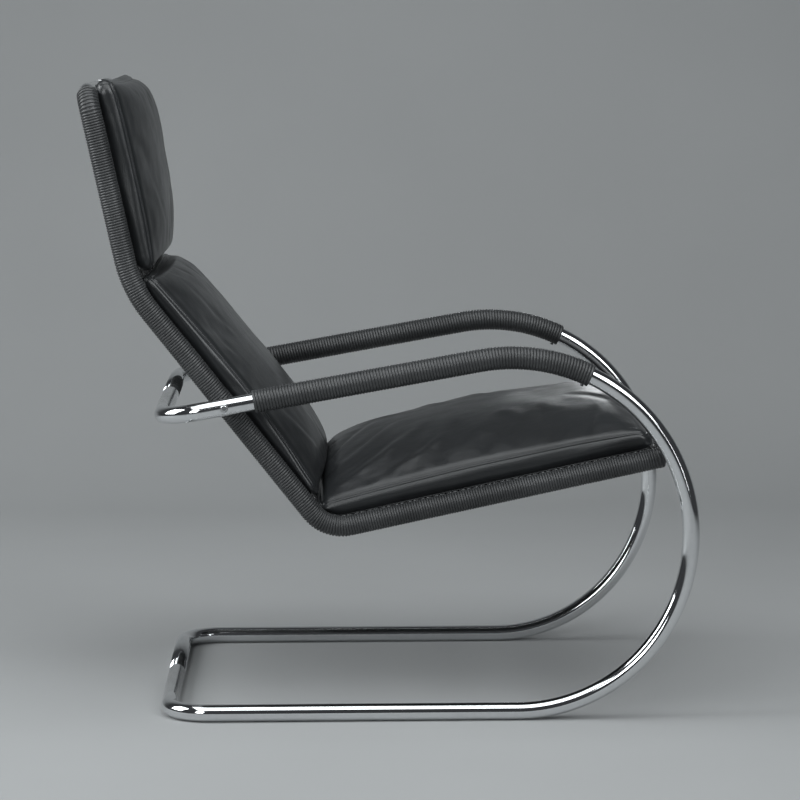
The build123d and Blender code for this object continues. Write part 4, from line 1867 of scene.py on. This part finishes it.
    def shell(self) -> bpy.types.Object:
        """Builds the closed shell of top, border and underside.

        Returns:
            The new object. Its first vertices are the top's grid, row by row.
        """
        sizes = self.sizes
        v, u = np.meshgrid(self.across, self.along, indexing="ij")
        top_x, top_y = self.outline(v, u, sizes.seam_tuck)
        floor_x, floor_y = self.outline(v, u, sizes.floor_tuck)
        base = self.floor_height(top_y)
        height = self.along_table(self.plan.seam, u)
        seam = np.maximum(base + sizes.seam_lift * height, sizes.floor + height)
        top = self.place(top_x, top_y, seam + self.top_height(v, u))
        bottom = self.place(floor_x, floor_y, self.floor_height(floor_y))
        shift = v.size
        self.grid = np.arange(shift).reshape(v.shape)
        rows, columns = np.array(self.ring()).T
        vertices = [*top.reshape(-1, 3), *bottom.reshape(-1, 3)]
        ring_top, ring_bottom = top[rows, columns], bottom[rows, columns]
        rim = self.grid[rows, columns].tolist()
        self.loops = [rim]
        for share in self.border_shares(np.linalg.norm(ring_top - ring_bottom, axis=1)):
            self.loops.append(list(range(len(vertices), len(vertices) + len(rim))))
            vertices.extend(self.border_points(ring_top, ring_bottom, share))
        self.loops.append([index + shift for index in rim])
        faces = []
        for a, b, c, d in cells(self.grid):
            faces.append((a, b, c, d))
            faces.append((d + shift, c + shift, b + shift, a + shift))
        for upper, lower in zip(self.loops, self.loops[1:]):
            faces.extend(zip(upper[1:] + upper[:1], upper, lower, lower[1:] + lower[:1]))
        mesh = bpy.data.meshes.new(self.plan.name)
        mesh.from_pydata([tuple(point) for point in vertices], [], faces)
        mesh.polygons.foreach_set("use_smooth", [True] * len(mesh.polygons))
        piece = new_piece(self.plan.name, mesh)
        self.face_outwards(piece)
        return piece

    def border_shares(self, height: np.ndarray) -> list[np.ndarray]:
        """How far down the border each loop lies: close together near both seams.

        Args:
            height: The border's height at each point of the outline.

        Returns:
            One array of shares for each loop.
        """
        sizes = self.sizes
        near = [row / height for row in sizes.border_edge_rows]
        run = 1 - 2 * near[-1]
        middle = [near[-1] + run * row / sizes.border_rows for row in range(1, sizes.border_rows)]
        return near + middle + [1 - share for share in reversed(near)]

    def border_points(
        self, ring_top: np.ndarray, ring_bottom: np.ndarray, share: np.ndarray
    ) -> np.ndarray:
        """One loop of border points between the seam and the underside.

        Args:
            ring_top: The seam's points.
            ring_bottom: The underside's edge points.
            share: How far down the border each point lies.

        Returns:
            The loop's points.
        """
        sizes = self.sizes
        middle = (ring_top + ring_bottom) / 2
        tangent = np.roll(middle, -1, axis=0) - np.roll(middle, 1, axis=0)
        out = np.cross(tangent, np.array(left_of(self.plan.direction)))
        out /= np.linalg.norm(out, axis=1)[:, None]
        out *= np.sign(np.sum(out * (middle - middle.mean(axis=0)), axis=1))[:, None]
        height = np.linalg.norm(ring_top - ring_bottom, axis=1)
        middle_off = np.abs(2 * share**sizes.bulge_low - 1)
        bulge = sizes.bulge * (1 - middle_off**sizes.bulge_square)
        distance = share * height
        welt = sizes.welt_reach * np.exp(-(((height - distance) / sizes.welt_width) ** 2))
        relief = self.seam_relief(distance) + welt
        pace = sizes.border_swell_pace
        swell = np.array([self.waviness(k, s, pace, 2) for k, s in enumerate(share)])
        swell *= sizes.border_swell_height * np.sin(math.pi * share)
        push = (bulge + relief + swell)[:, None]
        share = share[:, None]
        return ring_top * (1 - share) + ring_bottom * share + out * push

    @staticmethod
    def face_outwards(piece: bpy.types.Object) -> None:
        """Recalculates a closed mesh's normals.

        Args:
            piece: The object with the mesh.
        """
        work = bmesh.new()
        work.from_mesh(piece.data)
        bmesh.ops.recalc_face_normals(work, faces=work.faces)
        work.to_mesh(piece.data)
        work.free()


@dataclass(frozen=True)
class Inflation:
    """How a cushion's top is blown up as cloth."""

    frames: int = 20
    pressure: float = 1.3
    reach: float = 0.005
    spare: float = 0.004
    mass: float = 0.35
    stretch: float = 26.0
    bend: float = 5.0
    quality: int = 6
    held_band: float = 0.006
    fade_band: float = 0.030
    loose_hold: float = 0.35
    loosening: float = 12.0

    def blow(self, cushion: BoxCushion, piece: bpy.types.Object) -> None:
        """Simulates the top as a sheet that is sewn down at the seam.

        Args:
            cushion: The cushion.
            piece: Its shell, whose top vertices are moved.
        """
        grid = cushion.grid
        count = grid.size
        rest = np.array([vertex.co for vertex in piece.data.vertices[:count]])
        faces = cells(grid)
        mesh = bpy.data.meshes.new("blown")
        mesh.from_pydata(rest.tolist(), [], faces)
        up = Vector(left_of(cushion.plan.direction))
        if mesh.polygons[len(faces) // 2].normal.dot(up) < 0:
            mesh.flip_normals()
        sheet = new_piece("blown", mesh)
        held = sheet.vertex_groups.new(name="held")
        v, u = np.meshgrid(cushion.across, cushion.along, indexing="ij")
        distance = cushion.edge_distance(v, u).ravel()
        for index, gap in enumerate(distance):
            hold = max(0.0, self.loose_hold - gap * self.loosening)
            held.add([index], 1.0 if gap < self.held_band else hold, "REPLACE")
        moved = self.simulate(sheet)
        share = np.clip((distance - self.held_band) / self.fade_band, 0, 1)
        move = (moved - rest) * (share * share * (3 - 2 * share))[:, None]
        size = np.linalg.norm(move, axis=1)
        limited = self.reach * np.tanh(size / self.reach)
        move *= (limited / np.maximum(size, np.finfo(np.float32).tiny))[:, None]
        for index in range(count):
            piece.data.vertices[index].co = rest[index] + move[index]
        LOG.info("%s blown by %.1f mm at most", cushion.plan.name, 1000 * float(size.max()))
        bpy.data.objects.remove(sheet)

    def simulate(self, sheet: bpy.types.Object) -> np.ndarray:
        """Runs the cloth.

        Args:
            sheet: The sheet, with its vertex group of held points.

        Returns:
            Its points after the last frame.
        """
        scene = bpy.context.scene
        cloth = sheet.modifiers.new("Cloth", "CLOTH")
        settings = cloth.settings
        settings.quality = self.quality
        settings.mass = self.mass
        settings.tension_stiffness = settings.compression_stiffness = self.stretch
        settings.shear_stiffness = self.stretch / 2
        settings.bending_stiffness = self.bend
        settings.vertex_group_mass = "held"
        settings.use_pressure = True
        settings.uniform_pressure_force = self.pressure
        settings.shrink_min = -self.spare
        settings.effector_weights.gravity = 0.0
        cloth.collision_settings.use_collision = False
        cloth.point_cache.frame_start = 1
        cloth.point_cache.frame_end = self.frames
        for frame in range(1, self.frames + 1):
            scene.frame_set(frame)
        depsgraph = bpy.context.evaluated_depsgraph_get()
        moved = np.array([vertex.co for vertex in sheet.evaluated_get(depsgraph).data.vertices])
        sheet.modifiers.remove(cloth)
        scene.frame_set(1)
        return moved


class Cushions(Assembly):
    """The three leather cushions, blown up, pressed against each other and stitched."""

    STITCH_PITCH = 0.0048
    STITCH_LENGTH = 0.0036
    THREAD_THICKNESS = 0.0009
    CONTACT_GAP = 0.0008
    CONTACT_REACH = 0.08
    BEND_LIMIT = 0.97

    def __init__(self, lines: ChairLines, palette: Palette) -> None:
        """Sets the sizes that the cushions share.

        Args:
            lines: The chair's centre-lines.
            palette: Its finishes.
        """
        super().__init__(lines, palette)
        self.sizes = SewnSizes()
        self.inflation = Inflation()

    def bend_rise(self, corner: float, turn: float, radius: float, ahead: int) -> Callable:
        """How much a bend of the web lifts a cushion's underside.

        Args:
            corner: The bend's corner, along the cushion's run.
            turn: The angle that the rails turn through.
            radius: The rails' bend radius.
            ahead: 1 where the cushion lies beyond the corner, -1 where it lies before.

        Returns:
            A function from places along the run to heights.
        """
        floor = self.sizes.floor
        tangent = corner + ahead * radius * math.tan(math.radians(turn) / 2)
        inner = radius - floor

        def rise(at: np.ndarray) -> np.ndarray:
            """How high the web stands over the flat run at places along it."""
            into = np.clip(ahead * (tangent - at), 0, self.BEND_LIMIT * inner)
            return inner - np.sqrt(inner**2 - into**2)

        return rise

    def plans(self) -> list[CushionPlan]:
        """The three cushions' places, sizes and creases.

        Returns:
            The plans of seat, back and head cushion.
        """
        lines = self.lines
        seat_turn = 90 - lines.back_lean + lines.seat_slope
        head_turn = lines.back_lean - lines.head_lean
        seat = CushionPlan(
            name="seat_cushion",
            origin=lines.seat_corner,
            direction=lines.seat_direction,
            start=-0.007,
            end=0.545,
            seam=(0.0235, 0.0260, 0.0276, 0.0315, 0.0342, 0.0338, 0.0310, 0.0290, 0.0235),
            middle=(0.0320, 0.0730, 0.0905, 0.1015, 0.1050, 0.0950, 0.0855, 0.0600, 0.0262),
            bend=self.bend_rise(0.0, seat_turn, lines.seat_bend_radius, 1),
            creases=(
                Crease((-0.86, -0.92), (-0.45, -0.40), 0.0030, 0.008),
                Crease((-0.70, -0.95), (-0.20, -0.50), 0.0026, 0.008),
                Crease((-0.45, -0.97), (0.10, -0.62), 0.0028, 0.009),
                Crease((-0.93, -0.70), (-0.62, -0.22), 0.0018, 0.006),
                Crease((0.55, -0.90), (0.15, -0.35), 0.0026, 0.009),
                Crease((0.75, -0.30), (0.15, -0.08), 0.0022, 0.010),
                Crease((0.70, 0.10), (0.05, 0.22), 0.0018, 0.011),
                Crease((-0.90, 0.66), (-0.62, 0.74), 0.0026, 0.006),
                Crease((-0.60, 0.93), (-0.30, 0.62), 0.0020, 0.008),
                Crease((0.45, 0.93), (0.20, 0.66), 0.0020, 0.008),
            ),
            seed=3.0,
        )
        back = CushionPlan(
            name="back_cushion",
            origin=lines.head_corner,
            direction=lines.back_direction,
            start=0.002,
            end=0.447,
            seam=(0.0205, 0.0222, 0.0240, 0.0273, 0.0288, 0.0245, 0.0175, 0.0150, 0.0130),
            middle=(0.0230, 0.0480, 0.0593, 0.0620, 0.0639, 0.0650, 0.0585, 0.0460, 0.0180),
            bend=self.bend_rise(0.0, head_turn, lines.head_bend_radius, 1),
            creases=(
                Crease((-0.80, -0.55), (-0.74, 0.10), 0.0018, 0.008),
                Crease((-0.66, -0.80), (-0.50, -0.30), 0.0016, 0.009),
                Crease((-0.78, 0.25), (-0.60, 0.80), 0.0022, 0.008),
                Crease((-0.30, 0.55), (-0.20, 0.93), 0.0020, 0.010),
                Crease((0.20, 0.50), (0.34, 0.92), 0.0020, 0.010),
                Crease((0.60, -0.20), (0.72, 0.50), 0.0016, 0.010),
            ),
            seed=11.0,
        )
        head = CushionPlan(
            name="head_cushion",
            origin=lines.top_corner,
            direction=lines.head_direction,
            start=-0.010,
            end=0.298,
            seam=(0.0275, 0.0288, 0.0315, 0.0335, 0.0332, 0.0326, 0.0300, 0.0288, 0.0265),
            middle=(0.0300, 0.0520, 0.0668, 0.0685, 0.0645, 0.0591, 0.0500, 0.0420, 0.0290),
            bend=self.bend_rise(lines.head_run, head_turn, lines.head_bend_radius, -1),
            creases=(
                Crease((-0.70, 0.10), (-0.40, 0.75), 0.0012, 0.010),
                Crease((0.30, 0.20), (0.50, 0.85), 0.0012, 0.010),
            ),
            puckers=0.0006,
            seed=23.0,
        )
        return [seat, back, head]

    def press_apart(self, piece: bpy.types.Object, other: bpy.types.Object) -> int:
        """Moves a cushion's points out of its neighbour.

        Args:
            piece: The cushion that gives way.
            other: Its neighbour.

        Returns:
            How many points moved.
        """
        other.data.calc_loop_triangles()
        corners = [vertex.co for vertex in other.data.vertices]
        triangles = [tuple(triangle.vertices) for triangle in other.data.loop_triangles]
        tree = BVHTree.FromPolygons(corners, triangles)
        moved = 0
        for vertex in piece.data.vertices:
            nearest, normal, _, distance = tree.find_nearest(vertex.co, self.CONTACT_REACH)
            if nearest is None:
                continue
            inside = (vertex.co - nearest).dot(normal) < 0
            if inside or distance < self.CONTACT_GAP:
                vertex.co = nearest + normal * self.CONTACT_GAP
                moved += 1
        piece.data.update()
        return moved

    def seam_lines(self, cushion: BoxCushion, piece: bpy.types.Object) -> list[list[Vector]]:
        """Closed lines that the stitch rows follow, on both sides of the top seam.

        Args:
            cushion: The cushion.
            piece: Its mesh, before subdivision.

        Returns:
            One line on the top and one on the border.
        """
        row = cushion.sizes.stitch_row
        on_top = [int(cushion.grid[place]) for place in cushion.ring(row)]
        vertices = piece.data.vertices
        lines = (on_top, cushion.loops[row])
        return [[vertices[index].co.copy() for index in line] for line in lines]

    def build(self) -> list[bpy.types.Object]:
        """Builds the cushions and their stitches.

        Returns:
            The cushions and their stitch rows.
        """
        made = []
        for plan in self.plans():
            cushion = BoxCushion(plan, self.sizes)
            piece = cushion.shell()
            self.inflation.blow(cushion, piece)
            made.append((cushion, piece))
        seat, back, head = (piece for _, piece in made)
        LOG.info("back against seat: %d points", self.press_apart(back, seat))
        LOG.info("head against back: %d points", self.press_apart(head, back))
        stitches = stitch_tree()
        for cushion, piece in made:
            name = cushion.plan.name
            rows = [
                grown(
                    f"{name}_stitches_{place}",
                    thread_line(f"{name}_line", line, closed=True),
                    stitches,
                    Pitch=self.STITCH_PITCH,
                    Stitch_Length=self.STITCH_LENGTH,
                    Thread_Thickness=self.THREAD_THICKNESS,
                    Material=self.palette.thread,
                )
                for place, line in zip(("top", "border"), self.seam_lines(cushion, piece))
            ]
            self.subdivide(piece)
            self.put(piece, Slot.LEATHER, Body.SEAT, f"{name}_cover", f"{name}_core")
            for row in rows:
                self.put(row, Slot.LEATHER, Body.SEAT)
        return self.pieces

    @staticmethod
    def subdivide(piece: bpy.types.Object) -> None:
        """Applies one level of subdivision to a piece.

        Args:
            piece: The piece.
        """
        modifier = piece.modifiers.new("Smooth", "SUBSURF")
        modifier.levels = modifier.render_levels = 1
        depsgraph = bpy.context.evaluated_depsgraph_get()
        mesh = bpy.data.meshes.new_from_object(piece.evaluated_get(depsgraph))
        piece.modifiers.clear()
        piece.data = mesh


# ---------------------------------------------------------------- studio
@dataclass(frozen=True)
class Lamp:
    """A soft rectangular lamp: its power in watts, and its beam, which a grid on it can narrow."""

    name: str
    place: tuple[float, float, float]
    size: tuple[float, float]
    power: float
    beam: float = 180.0
    target: tuple[float, float, float] = (0.0, 0.0, 0.5)

    def hang(self, tint: Colour) -> None:
        """Puts the lamp into the scene.

        Args:
            tint: The colour of its light.
        """
        light = bpy.data.lights.new(self.name, "AREA")
        light.shape = "RECTANGLE"
        light.size, light.size_y = self.size
        light.energy = self.power
        light.spread = math.radians(self.beam)
        light.color = tint
        lamp = bpy.data.objects.new(self.name, light)
        lamp.location = self.place
        aim = Vector(self.target) - Vector(self.place)
        lamp.rotation_euler = aim.to_track_quat("-Z", "Y").to_euler()
        bpy.context.scene.collection.objects.link(lamp)


@dataclass
class Studio:
    """Pale paper cove, soft lights and the camera at the photograph's viewing angle."""

    TINT = (0.95, 0.985, 1.0)
    LAMPS = (
        Lamp("overhead_box", (0.0, -1.1, 3.2), (3.4, 3.4), 92.0),
        Lamp("front_box", (2.6, -3.2, 3.0), (2.2, 2.2), 74.0),
        Lamp("rear_box", (-3.4, -0.4, 2.2), (2.0, 2.4), 108.0),
        Lamp("window_box", (-2.0, -4.4, 2.0), (1.5, 1.9), 7.0, 60.0),
        Lamp("glance_box", (0.62, 2.8, 1.52), (0.36, 0.40), 0.034, 13.0, (0.27, 0.0, 0.46)),
        Lamp("edge_strip", (3.0, -3.4, 1.1), (0.12, 1.6), 4.0),
    )

    lens: float = 134.08
    sensor: float = 36.0
    camera_place: tuple[float, float, float] = (-0.1090, -5.0011, 1.1089)
    yaw: float = 1.504
    pitch: float = 7.164
    roll: float = 0.119
    cove_half_width: float = 7.0
    cove_front: float = -7.0
    cove_back: float = 3.4
    cove_radius: float = 1.6
    cove_height: float = 5.0
    cove_step: float = 3.0
    surround: Colour = (0.040, 0.042, 0.045)
    backdrop: Colour = (0.20, 0.215, 0.22)

    def cove(self, palette: Palette) -> None:
        """Builds floor and backdrop as one curved sheet.

        Args:
            palette: The finishes, of which the sheet takes the paper.
        """
        profile = [
            Vector((self.cove_front, 0, 0)),
            Vector((self.cove_back, 0, 0)),
            Vector((self.cove_back, 0, self.cove_height)),
        ]
        line = rounded(profile, [self.cove_radius], self.cove_step)
        edges = (-self.cove_half_width, self.cove_half_width)
        vertices = [(x, point.x, point.z) for point in line for x in edges]
        starts = range(0, len(vertices) - 2, 2)
        mesh = bpy.data.meshes.new("cove")
        mesh.from_pydata(vertices, [], [(at, at + 1, at + 3, at + 2) for at in starts])
        mesh.polygons.foreach_set("use_smooth", [True] * len(mesh.polygons))
        cove = new_piece("cove", mesh)
        cove.data.materials.append(palette.stage)

    def lights(self) -> None:
        """Hangs the lamps and sets the dim surround, which shows paler than it shines."""
        for lamp in self.LAMPS:
            lamp.hang(self.TINT)
        world = bpy.data.worlds.new("Dim surround")
        world.use_nodes = True
        board = Board(world.node_tree)
        seen = board.wire("ShaderNodeLightPath", output="Is Camera Ray")
        colour = board.mixed(seen, self.surround, self.backdrop)
        board.feed(board.tree.nodes["Background"], {"Color": colour, "Strength": 1.0})
        bpy.context.scene.world = world

    def camera(self) -> None:
        """Places the camera, turned by yaw, pitch and roll."""
        data = bpy.data.cameras.new("camera")
        data.lens, data.sensor_width = self.lens, self.sensor
        yaw, pitch, roll = (math.radians(angle) for angle in (self.yaw, self.pitch, self.roll))
        level = Vector((math.sin(yaw), math.cos(yaw), 0.0))
        up = Vector((0.0, 0.0, 1.0))
        forward = level * math.cos(pitch) - up * math.sin(pitch)
        top = up * math.cos(pitch) + level * math.sin(pitch)
        right = forward.cross(top)
        turned_right = right * math.cos(roll) - top * math.sin(roll)
        turned_top = right * math.sin(roll) + top * math.cos(roll)
        turn = Matrix((turned_right, turned_top, -forward)).transposed().to_4x4()
        camera = bpy.data.objects.new("camera", data)
        camera.matrix_world = Matrix.Translation(Vector(self.camera_place)) @ turn
        bpy.context.scene.collection.objects.link(camera)
        bpy.context.scene.camera = camera

    def build(self, palette: Palette) -> None:
        """Builds the cove, the lights and the camera.

        Args:
            palette: The finishes.
        """
        self.cove(palette)
        self.lights()
        self.camera()
        bpy.context.scene.view_settings.view_transform = "Standard"


def main() -> None:
    """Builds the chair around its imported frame, piece by piece."""
    logging.basicConfig(level=logging.INFO, format="%(name)s: %(message)s")
    for stray in list(bpy.data.objects):
        bpy.data.objects.remove(stray)
    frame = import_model()
    lines = ChairLines()
    palette = Palette()
    Studio().build(palette)
    assemblies = (
        SprungFrame(lines, palette),
        SeatLoop(lines, palette),
        CordWindings(lines, palette),
        CordWebs(lines, palette),
        Fittings(lines, palette, frame["nodes"]),
        Cushions(lines, palette),
    )
    for assembly in assemblies:
        for piece in assembly.build():
            LOG.info("%s: %d faces", piece.name, len(piece.data.polygons))


if __name__ == "__main__":
    main()
